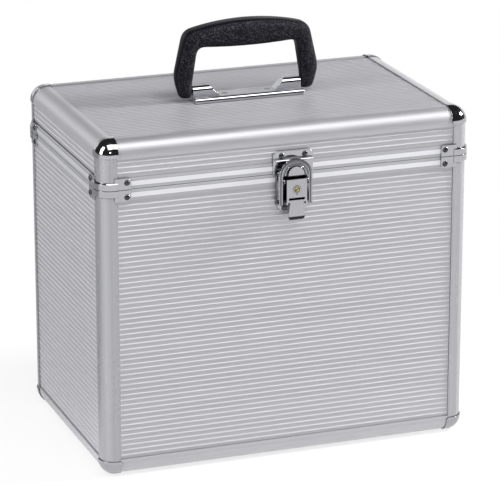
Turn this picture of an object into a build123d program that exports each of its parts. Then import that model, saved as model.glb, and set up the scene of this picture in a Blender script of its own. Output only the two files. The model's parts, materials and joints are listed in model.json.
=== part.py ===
from build123d import *
import os

# Record carrying case: ribbed panels held in rounded aluminium extrusions, a hinged lid,
# a key-locking draw latch on the front and a folding bow handle on the lid.
# The case is drawn with its centre on the Z axis and the underside of its extrusions at z = 0.
# On saving it moves up by the caps' height and along Y, so that the origin is at the centre of
# the box round the whole object, on the floor. The front faces -Y and +X runs to the right.

# ----- Driving dimensions, in millimetres -----

# Case, measured over the extrusions
case_width = 372.0
case_depth = 235.0
case_height = 330.0
lid_height = 46.0
parting_gap = 0.5

# Rounded edge extrusions
edge_flange = 17.0
edge_radius = 14.0
edge_wall = 1.2
slot_depth = 4.5
slot_clearance = 0.1
end_clearance = 0.1

# Ribbed panels
panel_thickness = 3.0
rib_pitch = 5.05
rib_width = 1.6
rib_height = 0.45
rib_root = 0.3
rib_edge_margin = 4.8
rib_end_clearance = 0.4

# Rim extrusions on both sides of the parting line
rim_height = 11.0
rim_wall = 1.2
band_near = 3.2
band_far = 7.8
band_relief = 0.5
rim_slot_depth = 6.2
tongue_height = 3.0
tongue_width = 1.4
tongue_inset = 2.6
groove_depth = 3.4
groove_inner_clearance = 1.0
groove_wall = 1.2

# Corner caps
cap_reach_across = 18.5
cap_reach_up = 15.2
cap_thickness = 0.9
cap_gap = 0.1
cap_notch_radius = 1.4

# Corner braces across the parting line
brace_length = 30.0
brace_height = 11.0
brace_thickness = 1.2
brace_band_height = 7.0
brace_band_stand = 2.0
brace_corner_radius = 3.0
brace_rivet_inset = 26.0
brace_rivet_drop = 7.0
seat_gap = 0.05

# Rivets
rivet_head_radius = 3.0
rivet_head_height = 1.6
rivet_shank_radius = 1.5
rivet_hole_clearance = 0.06
rivet_tail_radius = 2.3
rivet_tail_height = 0.7
countersink_depth = 1.5
flush_margin = 0.1

# Hinges
hinge_spacing = 220.0
hinge_width = 40.0
hinge_leaf_height = 20.0
hinge_leaf_thickness = 1.2
hinge_knuckle_radius = 3.2
hinge_pin_radius = 1.5
hinge_face_clearance = 0.4
hinge_running_clearance = 0.05
hinge_end_play = 0.3
hinge_centre_width = 18.0
hinge_rivet_spacing = 13.0
hinge_rivet_drop = 13.0
hinge_stop_reach = 5.6
hinge_stop_thickness = 2.6

# Draw latch: heights are from the parting line, depths are out from the case's front plane
latch_offset = 4.0
strike_width = 40.0
strike_height = 22.0
strike_thickness = 1.2
strike_corner_radius = 5.0
strike_gap = 0.25
lip_height = 13.2
lip_thickness = 1.4
lip_reach = 5.9
lip_side_margin = 1.0
strike_rivet_spacing = 23.4
strike_rivet_height = 17.7
latch_base_width = 34.0
latch_base_top = 1.0
latch_base_bottom = 36.0
latch_base_radius = 8.0
latch_base_thickness = 1.2
latch_rivet_heights = (17.0, 32.0)
ear_inner_x = 11.2
ear_thickness = 1.2
ear_radius = 3.4
pivot_drop = 6.5
pivot_depth = 7.5
pivot_pin_radius = 1.25
pivot_clearance = 0.06
pivot_end_play = 0.4
lever_front = 12.0
lever_plate = 1.2
lever_half_width = 10.2
lever_top = 3.5
lever_shoulder = 26.0
lever_flange_bottom = 28.0
lever_lobe_radius = 3.0
window_half_width = 8.0
window_top = 21.5
window_bottom = 23.8
tab_neck_half_width = 6.5
tab_half_width = 8.2
tab_bend = 39.5
tab_curl_radius = 5.0
tab_corner_radius = 4.6
bail_pivot_drop = 26.3
bail_pivot_depth = 4.5
bail_pin_radius = 1.2
bail_pin_head_radius = 2.2
bail_pin_head = 0.8
bail_half_width = 16.6
bail_strip = 3.4
bail_wall = 1.4
bail_front = 9.0
bail_arch_centre = 1.2
bail_lug_radius = 2.6
bail_lug_top = 9.0
bail_claw_gap = 0.4
bail_web_bottom = 0.2
bail_web_front = 8.0
bail_ridge_radius = 11.4
bail_ridge_width = 1.2
bail_ridge_front = 8.7
bail_boss_radius = 7.9
bail_boss_centre = 0.7
bail_boss_front = 10.5
lock_drop = 13.4
lock_radius = 3.2
lock_clearance = 0.06
lock_lip_radius = 3.8
lock_lip = 0.5
lock_boss_radius = 5.0
lock_back = 5.2
lock_cam_thickness = 1.2
lock_cam_length = 7.5
lock_cam_width = 5.0
lock_mark_radius = 0.5
lock_mark_drop = 4.6
keyway_length = 4.4
keyway_width = 0.9
keyway_depth = 3.0
keyway_tilt = 22.0

# Handle
handle_plate_length = 111.0
handle_plate_width = 26.0
handle_plate_height = 5.0
handle_plate_wall = 1.2
handle_axis_height = 10.0
barrel_radius = 5.0
barrel_length = 17.0
barrel_ramp = 10.0
barrel_bore_depth = 14.0
handle_pin_radius = 2.5
handle_pin_clearance = 0.08
handle_pin_in_grip = 11.0
handle_rivet_ramp_gap = 6.5
grip_side_gap = 0.8
foot_drop = 6.2
foot_half_depth = 6.0
foot_width = 11.7
foot_corner_radius = 5.0
leg_width = 17.2
leg_widest_height = 15.0
leg_bulge_radius = 30.0
shoulder_width = 6.2
shoulder_height = 58.8
shoulder_radius = 12.0
crown_height = 67.2
inner_foot_height = 8.0
inner_shoulder_inset = 4.8
inner_shoulder_height = 44.8
inner_shoulder_radius = 7.0
inner_crown_height = 42.4
crown_half_depth = 12.0
grip_rounding = 5.4

# Foam lining
lining_thickness = 2.0
lining_side_gap = 0.3

# ----- Values worked out from the driving dimensions -----

half_width = case_width / 2
half_depth = case_depth / 2
parting = case_height - lid_height
body_top = parting - parting_gap / 2
lid_bottom = parting + parting_gap / 2
panel_face = edge_wall + slot_clearance
panel_back = panel_face + panel_thickness
slot_width = panel_thickness + 2 * slot_clearance
inner_wall = edge_wall + slot_width
slot_floor = edge_flange - slot_depth
panel_margin = slot_floor + end_clearance
cap_stand = cap_gap + cap_thickness
hinge_axis_out = hinge_knuckle_radius + hinge_face_clearance
front_reach = lever_front + lock_lip
rear_reach = hinge_axis_out + hinge_stop_reach
case_centre_y = (front_reach - rear_reach) / 2
body_rim_inner = inner_wall + rim_wall
lid_groove_wall = tongue_inset + tongue_width + groove_inner_clearance
lid_rim_inner = lid_groove_wall + groove_wall
lever_back = lever_front - lever_plate
lever_inner_x = lever_half_width - lever_plate
bail_back = lip_reach + bail_claw_gap
bail_inner_x = bail_half_width - bail_strip
top_panel_face = case_height - panel_face
handle_seat = top_panel_face + rib_height + seat_gap
handle_axis = handle_seat + handle_axis_height
handle_plate_top = handle_seat + handle_plate_height
grip_inner_x = handle_plate_length / 2 + grip_side_gap
foot_half_length = grip_inner_x + foot_width
leg_half_length = grip_inner_x + leg_width
shoulder_half_length = grip_inner_x + shoulder_width
inner_shoulder_half_length = grip_inner_x - inner_shoulder_inset
handle_rivet_x = handle_plate_length / 2 - barrel_length - barrel_ramp - handle_rivet_ramp_gap


# ----- Small helpers -----

def rect(x0, y0, x1, y1):
    """Rectangle given by two opposite corners."""
    return Pos((x0 + x1) / 2, (y0 + y1) / 2) * Rectangle(abs(x1 - x0), abs(y1 - y0))


def disc(x, y, radius):
    return Pos(x, y) * Circle(radius)


def block(x0, y0, z0, x1, y1, z1):
    """Box given by two opposite corners."""
    centre = Pos((x0 + x1) / 2, (y0 + y1) / 2, (z0 + z1) / 2)
    return centre * Box(abs(x1 - x0), abs(y1 - y0), abs(z1 - z0))


def along_x(section, length, y, z):
    """Extrude a section centred on x = 0. Its X runs inward from the front plane, its Y runs up."""
    plane = Plane(origin=(-length / 2, y, z), x_dir=(0, 1, 0), z_dir=(1, 0, 0))
    return extrude(plane * section, amount=length)


def along_y(section, length, x, z):
    """Extrude a section centred on y = 0. Its X runs inward from the left plane, its Y runs up."""
    plane = Plane(origin=(x, length / 2, z), x_dir=(1, 0, 0), z_dir=(0, -1, 0))
    return extrude(plane * section, amount=length)


def to_right(shape):
    return mirror(shape, about=Plane.YZ)


def to_rear(shape):
    return mirror(shape, about=Plane.XZ)


def at_four_corners(front_left):
    """The piece at the front left corner and its three mirror images."""
    return {
        "front_left": front_left,
        "front_right": to_right(front_left),
        "rear_left": to_rear(front_left),
        "rear_right": to_rear(to_right(front_left)),
    }


def front_plane(x, z, out=0.0):
    """Plane on the case's front, facing out; its X runs right and its Y runs up."""
    return Plane(origin=(x, -half_depth - out, z), x_dir=(1, 0, 0), z_dir=(0, -1, 0))


def rear_plane(x, z, out=0.0):
    return Plane(origin=(x, half_depth + out, z), x_dir=(-1, 0, 0), z_dir=(0, 1, 0))


def left_plane(y, z, out=0.0):
    return Plane(origin=(-half_width - out, y, z), x_dir=(0, -1, 0), z_dir=(-1, 0, 0))


def right_plane(y, z, out=0.0):
    return Plane(origin=(half_width + out, y, z), x_dir=(0, 1, 0), z_dir=(1, 0, 0))


def top_plane(x, y, z):
    return Plane(origin=(x, y, z), x_dir=(1, 0, 0), z_dir=(0, 0, 1))


# Each upright face's plane and its width over the extrusions
FACES = {
    "front": (front_plane, case_width),
    "rear": (rear_plane, case_width),
    "left": (left_plane, case_depth),
    "right": (right_plane, case_depth),
}


def save(name, shapes):
    """Move a piece, or a group of separate pieces, into the object's frame and write its STEP."""
    if not isinstance(shapes, list):
        shapes = [shapes]
    solids = []
    for shape in shapes:
        solids.extend(shape.solids())
    moved = [Pos(0, case_centre_y, cap_stand) * solid for solid in solids]
    result = moved[0] if len(moved) == 1 else Compound(children=moved)
    export_step(result, "parts/" + name + ".step")


# ----- Rivets -----

def rivet(grip, tail=True):
    """Domed rivet: underside of the head at z = 0, shank going down through the grip length."""
    sphere_radius = (rivet_head_radius**2 + rivet_head_height**2) / (2 * rivet_head_height)
    dome = Pos(0, 0, rivet_head_height - sphere_radius) * Sphere(sphere_radius)
    head = dome & Pos(0, 0, rivet_head_height) * Cylinder(2 * rivet_head_radius, 2 * rivet_head_height)
    shank = post(rivet_shank_radius, -grip, rivet_head_height / 2)
    body = head + shank
    if tail:
        body += post(rivet_tail_radius, -grip - rivet_tail_height, -grip)
    return body


def countersunk_rivet(grip, clearance=0.0):
    """Rivet with its head flush at z = 0 and its shank going down through the grip length."""
    head = Pos(0, 0, -countersink_depth / 2) * Cone(
        rivet_shank_radius + clearance, rivet_head_radius + clearance, countersink_depth)
    return head + post(rivet_shank_radius + clearance, -grip, -countersink_depth / 2)


def post(radius, z0, z1):
    """Cylinder on the Z axis between two heights."""
    return Pos(0, 0, (z0 + z1) / 2) * Cylinder(radius, z1 - z0)


def drilled(shape, planes):
    """Cut a rivet hole through the shape at each plane."""
    reach = edge_flange
    for plane in planes:
        shape -= plane * post(rivet_shank_radius + rivet_hole_clearance, -reach, reach)
    return shape


def brace_sites(side):
    """Planes of the brace rivets on one face, on the lid's side or the body's side of the parting."""
    z = parting + side * brace_rivet_drop
    x = half_width - brace_rivet_inset
    y = half_depth - brace_rivet_inset
    out = brace_thickness + seat_gap
    return {
        "front": [front_plane(-x, z, out), front_plane(x, z, out)],
        "rear": [rear_plane(-x, z, out), rear_plane(x, z, out)],
        "left": [left_plane(-y, z, out), left_plane(y, z, out)],
        "right": [right_plane(-y, z, out), right_plane(y, z, out)],
    }


def hinge_sites(side):
    """Planes of the hinge rivets on the body's or the lid's leaves."""
    sites = []
    for centre in (-hinge_spacing / 2, hinge_spacing / 2):
        for offset in (-hinge_rivet_spacing, 0, hinge_rivet_spacing):
            z = parting + side * hinge_rivet_drop
            sites.append(rear_plane(centre + offset, z, hinge_leaf_thickness + seat_gap))
    return sites


def latch_base_sites():
    out = latch_base_thickness + seat_gap
    return [front_plane(latch_offset, parting - height, out) for height in latch_rivet_heights]


def strike_sites():
    out = strike_thickness + seat_gap
    z = parting + strike_rivet_height
    half = strike_rivet_spacing / 2
    return [front_plane(latch_offset + x, z, out) for x in (-half, half)]


def handle_sites():
    return [top_plane(side * handle_rivet_x, 0, handle_plate_top) for side in (-1, 1)]


# ----- Extrusions -----

def edge_section():
    """Section of the rounded edge extrusion: outer corner at the origin, a panel slot in each wall."""
    outer = rect(0, 0, edge_flange, edge_flange)
    corner = outer.vertices().sort_by(lambda v: v.X + v.Y)[0]
    outer = fillet(corner, edge_radius)
    hollow = rect(edge_wall, edge_wall, 2 * edge_flange, 2 * edge_flange)
    corner = hollow.vertices().sort_by(lambda v: v.X + v.Y)[0]
    hollow = fillet(corner, edge_radius - edge_wall)
    section = outer - hollow
    section += rect(inner_wall, inner_wall, edge_flange, inner_wall + edge_wall)
    section += rect(inner_wall, inner_wall, inner_wall + edge_wall, edge_flange)
    section += rect(slot_floor - edge_wall, 0, slot_floor, inner_wall + edge_wall) & outer
    section += rect(0, slot_floor - edge_wall, inner_wall + edge_wall, slot_floor) & outer
    section -= rect(slot_floor, edge_wall, 2 * edge_flange, inner_wall)
    return section - rect(edge_wall, slot_floor, inner_wall, 2 * edge_flange)


def upright_extrusion(z0, z1):
    """Front left upright corner extrusion between two heights."""
    plane = Plane(origin=(-half_width, -half_depth, z0), x_dir=(1, 0, 0), z_dir=(0, 0, 1))
    return extrude(plane * edge_section(), amount=z1 - z0)


def bottom_edge_front():
    length = case_width - 2 * (edge_flange + end_clearance)
    return along_x(edge_section(), length, -half_depth, 0)


def bottom_edge_left():
    length = case_depth - 2 * (edge_flange + end_clearance)
    return along_y(edge_section(), length, -half_width, 0)


def to_top(shape):
    """Mirror image of a bottom piece at the top of the case."""
    return mirror(shape, about=Plane.XY.offset(case_height / 2))


def body_rim_section():
    """Body rim: slot for the panel below, hollow chamber, tongue on top. y = 0 is the parting line."""
    top = -parting_gap / 2
    bottom = -rim_height
    slot_top = bottom + rim_slot_depth
    section = rect(band_relief, bottom, rim_wall + band_relief, top)
    section += rect(0, -band_far, rim_wall, -band_near)
    section += rect(band_relief, top - rim_wall, body_rim_inner, top)
    section += rect(rim_wall, slot_top, body_rim_inner, slot_top + rim_wall)
    section += rect(inner_wall, bottom, body_rim_inner, top)
    section -= rect(edge_wall, bottom - rim_wall, inner_wall, slot_top)
    section += rect(tongue_inset, top - rim_wall, tongue_inset + tongue_width, top + tongue_height)
    return section


def lid_rim_section():
    """Lid rim: groove for the tongue below, slot for the panel above. y = 0 is the parting line."""
    bottom = parting_gap / 2
    top = rim_height
    web = bottom + groove_depth
    section = rect(band_relief, bottom, rim_wall + band_relief, top)
    section += rect(0, band_near, rim_wall, band_far)
    section += rect(band_relief, web, lid_rim_inner, web + rim_wall)
    section += rect(lid_groove_wall, bottom, lid_rim_inner, web + rim_wall)
    section += rect(inner_wall, web, lid_rim_inner, top)
    return section - rect(edge_wall, web + rim_wall, inner_wall, top + rim_wall)


# ----- Panels -----

def ribbed_panel(width, height, rib_length, rib_places):
    """Board with its face at z = 0, with half-round ribs along X at the given heights."""
    board = block(-width / 2, -height / 2, -panel_thickness, width / 2, height / 2, 0)
    arc = ThreePointArc((-rib_width / 2, 0), (0, rib_height), (rib_width / 2, 0))
    root = Polyline((rib_width / 2, 0), (rib_width / 2, -rib_root), (-rib_width / 2, -rib_root),
                    (-rib_width / 2, 0))
    rib = make_face(arc + root)
    plane = Plane(origin=(-rib_length / 2, 0, 0), x_dir=(0, 1, 0), z_dir=(1, 0, 0))
    ribs = [extrude(plane * (Pos(place, 0) * rib), amount=rib_length) for place in rib_places]
    return board + ribs


def rib_rows(first, last, step):
    """Evenly stepped rib heights, from the first towards the last."""
    count = int((abs(last - first) - rib_width / 2) / rib_pitch) + 1
    return [first + step * rib_pitch * row for row in range(count)]


def side_panel(width, bottom, top, rib_places, plane_at):
    """Upright panel between two heights; rib_places are heights in the case."""
    middle = (bottom + top) / 2
    rib_length = width - 2 * (edge_flange + rib_end_clearance)
    panel_width = width - 2 * panel_margin
    local = [place - middle for place in rib_places]
    panel = ribbed_panel(panel_width, top - bottom, rib_length, local)
    return plane_at(0, middle, -panel_face) * panel


def body_panel(width, plane_at):
    rim_edge = parting - rim_height
    top = rim_edge + rim_slot_depth - end_clearance
    places = rib_rows(rim_edge - rib_edge_margin, edge_flange, -1)
    return side_panel(width, panel_margin, top, places, plane_at)


def lid_panel(width, plane_at):
    rim_edge = parting + rim_height
    bottom = lid_bottom + groove_depth + rim_wall + end_clearance
    places = rib_rows(rim_edge + rib_edge_margin, case_height - edge_flange, 1)
    return side_panel(width, bottom, case_height - panel_margin, places, plane_at)


def flat_panel():
    """Top panel with its face at z = 0, and ribs from side to side."""
    width = case_width - 2 * panel_margin
    depth = case_depth - 2 * panel_margin
    clear = depth / 2 - slot_depth - rib_end_clearance
    count = int((clear - rib_width / 2) / rib_pitch)
    places = [rib_pitch * row for row in range(-count, count + 1)]
    rib_length = case_width - 2 * (edge_flange + rib_end_clearance)
    return ribbed_panel(width, depth, rib_length, places)


# ----- Corner caps and braces -----

def rounded_corner(across, up, offset, radius):
    """Block over the corner at the origin, grown outward by an offset, its outer edges rounded."""
    cube = block(-offset, -offset, -offset, across, across, up)
    edges = [e for e in cube.edges() if touches_outer_corner(e, offset)]
    return fillet(edges, radius)


def touches_outer_corner(edge, offset):
    ends = edge.vertices()
    return any(abs(v.X + offset) + abs(v.Y + offset) + abs(v.Z + offset) < 1e-6 for v in ends)


def corner_cap():
    """Thin three-lobed cap over the front left bottom corner, its lobes notched where they meet."""
    across = cap_reach_across
    up = cap_reach_up
    outer = rounded_corner(across, up, cap_stand, edge_radius + cap_stand)
    inner = rounded_corner(2 * across, 2 * up, cap_gap, edge_radius + cap_gap)
    cap = outer - inner
    notch = Cylinder(cap_notch_radius, 4 * cap_stand)
    cap -= Pos(across, across, 0) * notch
    cap -= Pos(across, 0, up) * Rot(90, 0, 0) * notch
    cap -= Pos(0, across, up) * Rot(0, 90, 0) * notch
    return Pos(-half_width, -half_depth, 0) * cap


def brace_half():
    """Lid half of a corner brace: a band round the corner and an ear along each face."""
    band_outline = rect(-brace_band_stand, -brace_band_stand, edge_flange, edge_flange)
    corner = band_outline.vertices().sort_by(lambda v: v.X + v.Y)[0]
    band_outline = fillet(corner, edge_radius + brace_band_stand)
    band_inner = rect(-seat_gap, -seat_gap, 2 * edge_flange, 2 * edge_flange)
    corner = band_inner.vertices().sort_by(lambda v: v.X + v.Y)[0]
    band_inner = fillet(corner, edge_radius + seat_gap)
    band = extrude(band_outline - band_inner, amount=brace_band_height)
    round_edges = band.edges().filter_by(GeomType.CIRCLE).sort_by(Axis.Z)[-2:]
    outer_edge = round_edges.sort_by(lambda e: -e.radius)[0]
    band = chamfer(outer_edge, brace_band_stand / 2)
    ear = ear_plate()
    diagonal = Plane(origin=(0, 0, 0), x_dir=(1, 1, 0), z_dir=(1, -1, 0))
    return band + ear + mirror(ear, about=diagonal)


def ear_plate():
    """Ear lying on the front face, its free corners rounded, with a rivet hole."""
    outline = rect(edge_radius, 0, brace_length, brace_height)
    corners = outline.vertices().sort_by(Axis.X)[-2:]
    top_corner = corners.sort_by(Axis.Y)[-1]
    outline = fillet(top_corner, brace_corner_radius)
    hole_height = brace_rivet_drop - parting_gap / 2
    outline -= disc(brace_rivet_inset, hole_height, rivet_shank_radius + rivet_hole_clearance)
    plane = Plane(origin=(0, -seat_gap, 0), x_dir=(1, 0, 0), z_dir=(0, -1, 0))
    return extrude(plane * outline, amount=brace_thickness)


def lid_brace():
    """Lid half of the front left brace, in place."""
    return Pos(-half_width, -half_depth, lid_bottom) * brace_half()


def body_brace():
    return mirror(lid_brace(), about=Plane.XY.offset(parting))


# ----- Hinges -----

def hinge_leaf_section(knuckle):
    """Section of a lid leaf, x = 0 on the rear face and y = 0 on the hinge axis."""
    start = 0 if knuckle else hinge_knuckle_radius + hinge_face_clearance
    section = rect(seat_gap, start, seat_gap + hinge_leaf_thickness, hinge_leaf_height)
    if knuckle:
        section += disc(hinge_axis_out, 0, hinge_knuckle_radius)
    return section


def hinge_leaf(knuckle_spans, plain_spans):
    """Lid leaf from spans along the hinge, with and without a knuckle, bored for the pin."""
    leaf = Part()
    for spans, knuckle in ((knuckle_spans, True), (plain_spans, False)):
        for start, end in spans:
            plane = Plane(origin=(start, half_depth, parting), x_dir=(0, 1, 0), z_dir=(1, 0, 0))
            leaf += extrude(plane * hinge_leaf_section(knuckle), amount=end - start)
    bore = Pos(0, half_depth + hinge_axis_out, parting) * Rot(0, 90, 0)
    return leaf - bore * Cylinder(hinge_pin_radius + hinge_running_clearance, 2 * hinge_width)


def hinge_lid_leaf():
    """Lid leaf: one knuckle in the middle, with the nose that stops the lid."""
    inner = hinge_centre_width / 2
    outer = hinge_width / 2
    leaf = hinge_leaf([(-inner, inner)], [(-outer, -inner), (inner, outer)])
    y = half_depth + hinge_axis_out
    half_nose = hinge_stop_thickness / 2
    root = (hinge_pin_radius + hinge_knuckle_radius) / 2
    return leaf + block(-inner, y + root, parting - half_nose, inner, y + hinge_stop_reach,
                        parting + half_nose)


def hinge_body_leaf():
    """Body leaf: a knuckle at each end."""
    inner = hinge_centre_width / 2 + hinge_end_play
    outer = hinge_width / 2
    leaf = hinge_leaf([(-outer, -inner), (inner, outer)], [(-inner, inner)])
    return mirror(leaf, about=Plane.XY.offset(parting))


def hinge_pin():
    at = Pos(0, half_depth + hinge_axis_out, parting) * Rot(0, 90, 0)
    return at * Cylinder(hinge_pin_radius, hinge_width)


def at_both_hinges(shape):
    return [Pos(side * hinge_spacing / 2, 0, 0) * shape for side in (-1, 1)]


# ----- Draw latch -----

def latch_front(section, back, front):
    """Extrude a front-view section between two depths in front of the case."""
    return extrude(front_plane(latch_offset, parting, back) * section, amount=front - back)


def latch_side(section, x0, x1):
    """Extrude a side-view section, x out and y up from the parting line, between two places."""
    origin = (latch_offset + x1, -half_depth, parting)
    plane = Plane(origin=origin, x_dir=(0, -1, 0), z_dir=(-1, 0, 0))
    return extrude(plane * section, amount=x1 - x0)


def cross_pin(drop, depth, radius, half_length):
    at = Pos(latch_offset, -half_depth - depth, parting - drop) * Rot(0, 90, 0)
    return at * Cylinder(radius, 2 * half_length)


def strike():
    """Strike plate on the lid, with the lip that the bail catches."""
    half = strike_width / 2
    outline = rect(-half, strike_gap, half, strike_height)
    outline = fillet(outline.vertices().sort_by(Axis.Y)[-2:], strike_corner_radius)
    plate = latch_front(outline, seat_gap, seat_gap + strike_thickness)
    lip = rect(-half + lip_side_margin, lip_height, half - lip_side_margin, lip_height + lip_thickness)
    return drilled(plate + latch_front(lip, strike_thickness / 2, lip_reach), strike_sites())


def latch_base():
    """Base plate with two ears for the lever's pivot."""
    half = latch_base_width / 2
    outline = rect(-half, -latch_base_bottom, half, -latch_base_top)
    outline = fillet(outline.vertices().sort_by(Axis.Y)[:2], latch_base_radius)
    base = latch_front(outline, seat_gap, seat_gap + latch_base_thickness)
    base = drilled(base, latch_base_sites())
    ear = disc(pivot_depth, -pivot_drop, ear_radius)
    ear += rect(latch_base_thickness / 2, -pivot_drop - ear_radius, pivot_depth, -pivot_drop + ear_radius)
    for side in (-1, 1):
        edges = sorted((side * ear_inner_x, side * (ear_inner_x + ear_thickness)))
        base += latch_side(ear, *edges)
    return base - cross_pin(pivot_drop, pivot_depth, pivot_pin_radius + pivot_clearance, half)


def latch_pivot_pin():
    half = ear_inner_x + ear_thickness + pivot_end_play
    return cross_pin(pivot_drop, pivot_depth, pivot_pin_radius, half)


def lever_flange_outline():
    """Side view of a lever flange, reaching back round both pivots."""
    outline = make_face(Polyline(
        (lever_front, -lever_top),
        (lever_front, -lever_flange_bottom),
        (bail_pivot_depth, -bail_pivot_drop - lever_lobe_radius),
        (bail_pivot_depth - lever_lobe_radius, -bail_pivot_drop),
        (pivot_depth - lever_lobe_radius, -pivot_drop),
        (pivot_depth, -pivot_drop + lever_lobe_radius),
        (lever_front, -lever_top),
    ))
    outline += disc(pivot_depth, -pivot_drop, lever_lobe_radius)
    return outline + disc(bail_pivot_depth, -bail_pivot_drop, lever_lobe_radius)


def lever_tab():
    """Finger tab, flared and curled back towards the case at its end."""
    centre_out = lever_front - tab_curl_radius
    side_view = rect(lever_back, -tab_bend, lever_front, -window_bottom)
    curl = disc(centre_out, -tab_bend, tab_curl_radius)
    curl -= disc(centre_out, -tab_bend, tab_curl_radius - lever_plate)
    side_view += curl & rect(centre_out, -tab_bend - tab_curl_radius, lever_front, -tab_bend)
    strip = latch_side(side_view, -tab_half_width, tab_half_width)
    bottom = tab_bend + tab_curl_radius
    outline = make_face(Polyline(
        (-tab_neck_half_width, -window_bottom),
        (tab_neck_half_width, -window_bottom),
        (tab_half_width, -tab_bend),
        (tab_half_width, -bottom),
        (-tab_half_width, -bottom),
        (-tab_half_width, -tab_bend),
        (-tab_neck_half_width, -window_bottom),
    ))
    outline = fillet(outline.vertices().sort_by(Axis.Y)[:2], tab_corner_radius)
    return strip & latch_front(outline, 0, 2 * lever_front)


def latch_lever():
    """Lever: square plate with two side flanges, the lock's boss and the finger tab."""
    half = lever_half_width
    outline = rect(-half, -lever_shoulder, half, -lever_top)
    outline -= rect(-window_half_width, -window_bottom, window_half_width, -window_top)
    lever = latch_front(outline, lever_back, lever_front)
    flange = lever_flange_outline()
    lever += latch_side(flange, -half, -lever_inner_x)
    lever += latch_side(flange, lever_inner_x, half)
    lever += lever_tab()
    lever += latch_front(disc(0, -lock_drop, lock_boss_radius), lock_back + lock_clearance, lever_back)
    lever -= latch_front(disc(0, -lock_drop, lock_radius + lock_clearance), 0, 2 * lever_front)
    lever -= latch_front(disc(0, -lock_drop - lock_mark_drop, lock_mark_radius), 0, 2 * lever_front)
    lever -= cross_pin(pivot_drop, pivot_depth, pivot_pin_radius + pivot_clearance, 2 * half)
    return lever - cross_pin(bail_pivot_drop, bail_pivot_depth, bail_pin_radius + pivot_clearance, 2 * half)


def bail_outline(half):
    """Front view of the bail out to a half width: two arms and the arch over them."""
    centre = -bail_arch_centre
    foot = -bail_pivot_drop - bail_lug_radius
    return rect(-half, foot, half, centre) + disc(0, centre, half)


def above_web(shape):
    """The part of a front view above the bottom edge of the bail's web."""
    return shape & rect(-bail_half_width, -bail_web_bottom, bail_half_width, bail_half_width)


def latch_bail():
    """Bail: arched strip with side walls, web and raised boss, and lugs at its pivot."""
    outer = bail_outline(bail_half_width)
    bail = latch_front(outer - bail_outline(bail_inner_x), bail_front - bail_wall, bail_front)
    wall = outer - bail_outline(bail_half_width - bail_wall)
    bail += latch_front(wall, bail_back, bail_front)
    web = above_web(bail_outline(bail_inner_x + bail_wall))
    bail += latch_front(web, bail_back + bail_wall / 2, bail_web_front)
    ridge = disc(0, -bail_arch_centre, bail_ridge_radius)
    ridge -= disc(0, -bail_arch_centre, bail_ridge_radius - bail_ridge_width)
    bail += latch_front(above_web(ridge), bail_back + bail_wall, bail_ridge_front)
    boss = disc(0, bail_boss_centre, bail_boss_radius)
    boss += rect(-bail_boss_radius, -bail_web_bottom, bail_boss_radius, bail_boss_centre)
    bail += latch_front(above_web(boss), bail_back + bail_wall, bail_boss_front)
    lug = disc(bail_pivot_depth, -bail_pivot_drop, bail_lug_radius)
    lug += make_face(Polyline(
        (bail_front, -bail_lug_top),
        (bail_front, -bail_pivot_drop - bail_lug_radius),
        (bail_pivot_depth, -bail_pivot_drop - bail_lug_radius),
        (bail_pivot_depth - bail_lug_radius, -bail_pivot_drop),
        (bail_front - bail_wall, -bail_lug_top),
        (bail_front, -bail_lug_top),
    ))
    bail += latch_side(lug, -bail_half_width, -bail_half_width + bail_wall)
    bail += latch_side(lug, bail_half_width - bail_wall, bail_half_width)
    hole = cross_pin(bail_pivot_drop, bail_pivot_depth, bail_pin_radius + pivot_clearance,
                     2 * bail_half_width)
    return bail - hole


def bail_pin():
    """Pin through the lever and the bail's lugs, with a head at each end."""
    inner = bail_half_width + pivot_clearance
    pin = cross_pin(bail_pivot_drop, bail_pivot_depth, bail_pin_radius, inner + bail_pin_head)
    heads = cross_pin(bail_pivot_drop, bail_pivot_depth, bail_pin_head_radius, inner + bail_pin_head)
    return pin + (heads - cross_pin(bail_pivot_drop, bail_pivot_depth, 2 * bail_pin_head_radius, inner))


def lock_cylinder():
    """Key cylinder with a thin lip in front and a tilted keyway."""
    cylinder = latch_front(disc(0, -lock_drop, lock_radius), lock_back, lever_front + lock_lip)
    cylinder += latch_front(disc(0, -lock_drop, lock_lip_radius), lever_front, lever_front + lock_lip)
    keyway = Pos(0, -lock_drop) * Rot(0, 0, keyway_tilt) * Rectangle(keyway_length, keyway_width)
    front = lever_front + lock_lip
    return cylinder - latch_front(keyway, front - keyway_depth, front + lock_lip)


def lock_cam():
    """Flat cam on the back of the cylinder, pointing down when locked."""
    cam = disc(0, -lock_drop, lock_radius)
    cam += rect(-lock_cam_width / 2, -lock_drop - lock_cam_length, lock_cam_width / 2, -lock_drop)
    return latch_front(cam, lock_back - lock_cam_thickness, lock_back)


# ----- Handle -----

def handle_barrel():
    """Right-hand barrel of the handle plate, its inner end cut to a ramp."""
    outer = handle_plate_length / 2
    inner = outer - barrel_length - barrel_ramp
    tube = disc(0, handle_axis, barrel_radius)
    tube += rect(-barrel_radius, handle_plate_top - handle_plate_wall, barrel_radius, handle_axis)
    plane = Plane(origin=(inner, 0, 0), x_dir=(0, 1, 0), z_dir=(1, 0, 0))
    barrel = extrude(plane * tube, amount=outer - inner)
    top = handle_axis + barrel_radius
    wedge = make_face(Polyline(
        (inner - barrel_ramp, handle_plate_top),
        (inner, handle_plate_top),
        (inner + barrel_ramp, top),
        (inner + barrel_ramp, 2 * top),
        (inner - barrel_ramp, 2 * top),
        (inner - barrel_ramp, handle_plate_top),
    ))
    side = Plane(origin=(0, handle_plate_width / 2, 0), x_dir=(1, 0, 0), z_dir=(0, -1, 0))
    barrel -= extrude(side * wedge, amount=handle_plate_width)
    bore = Plane(origin=(outer, 0, handle_axis), x_dir=(0, 1, 0), z_dir=(1, 0, 0))
    return barrel - bore * post(handle_pin_radius + handle_pin_clearance,
                                          -barrel_bore_depth, barrel_ramp)


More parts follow.
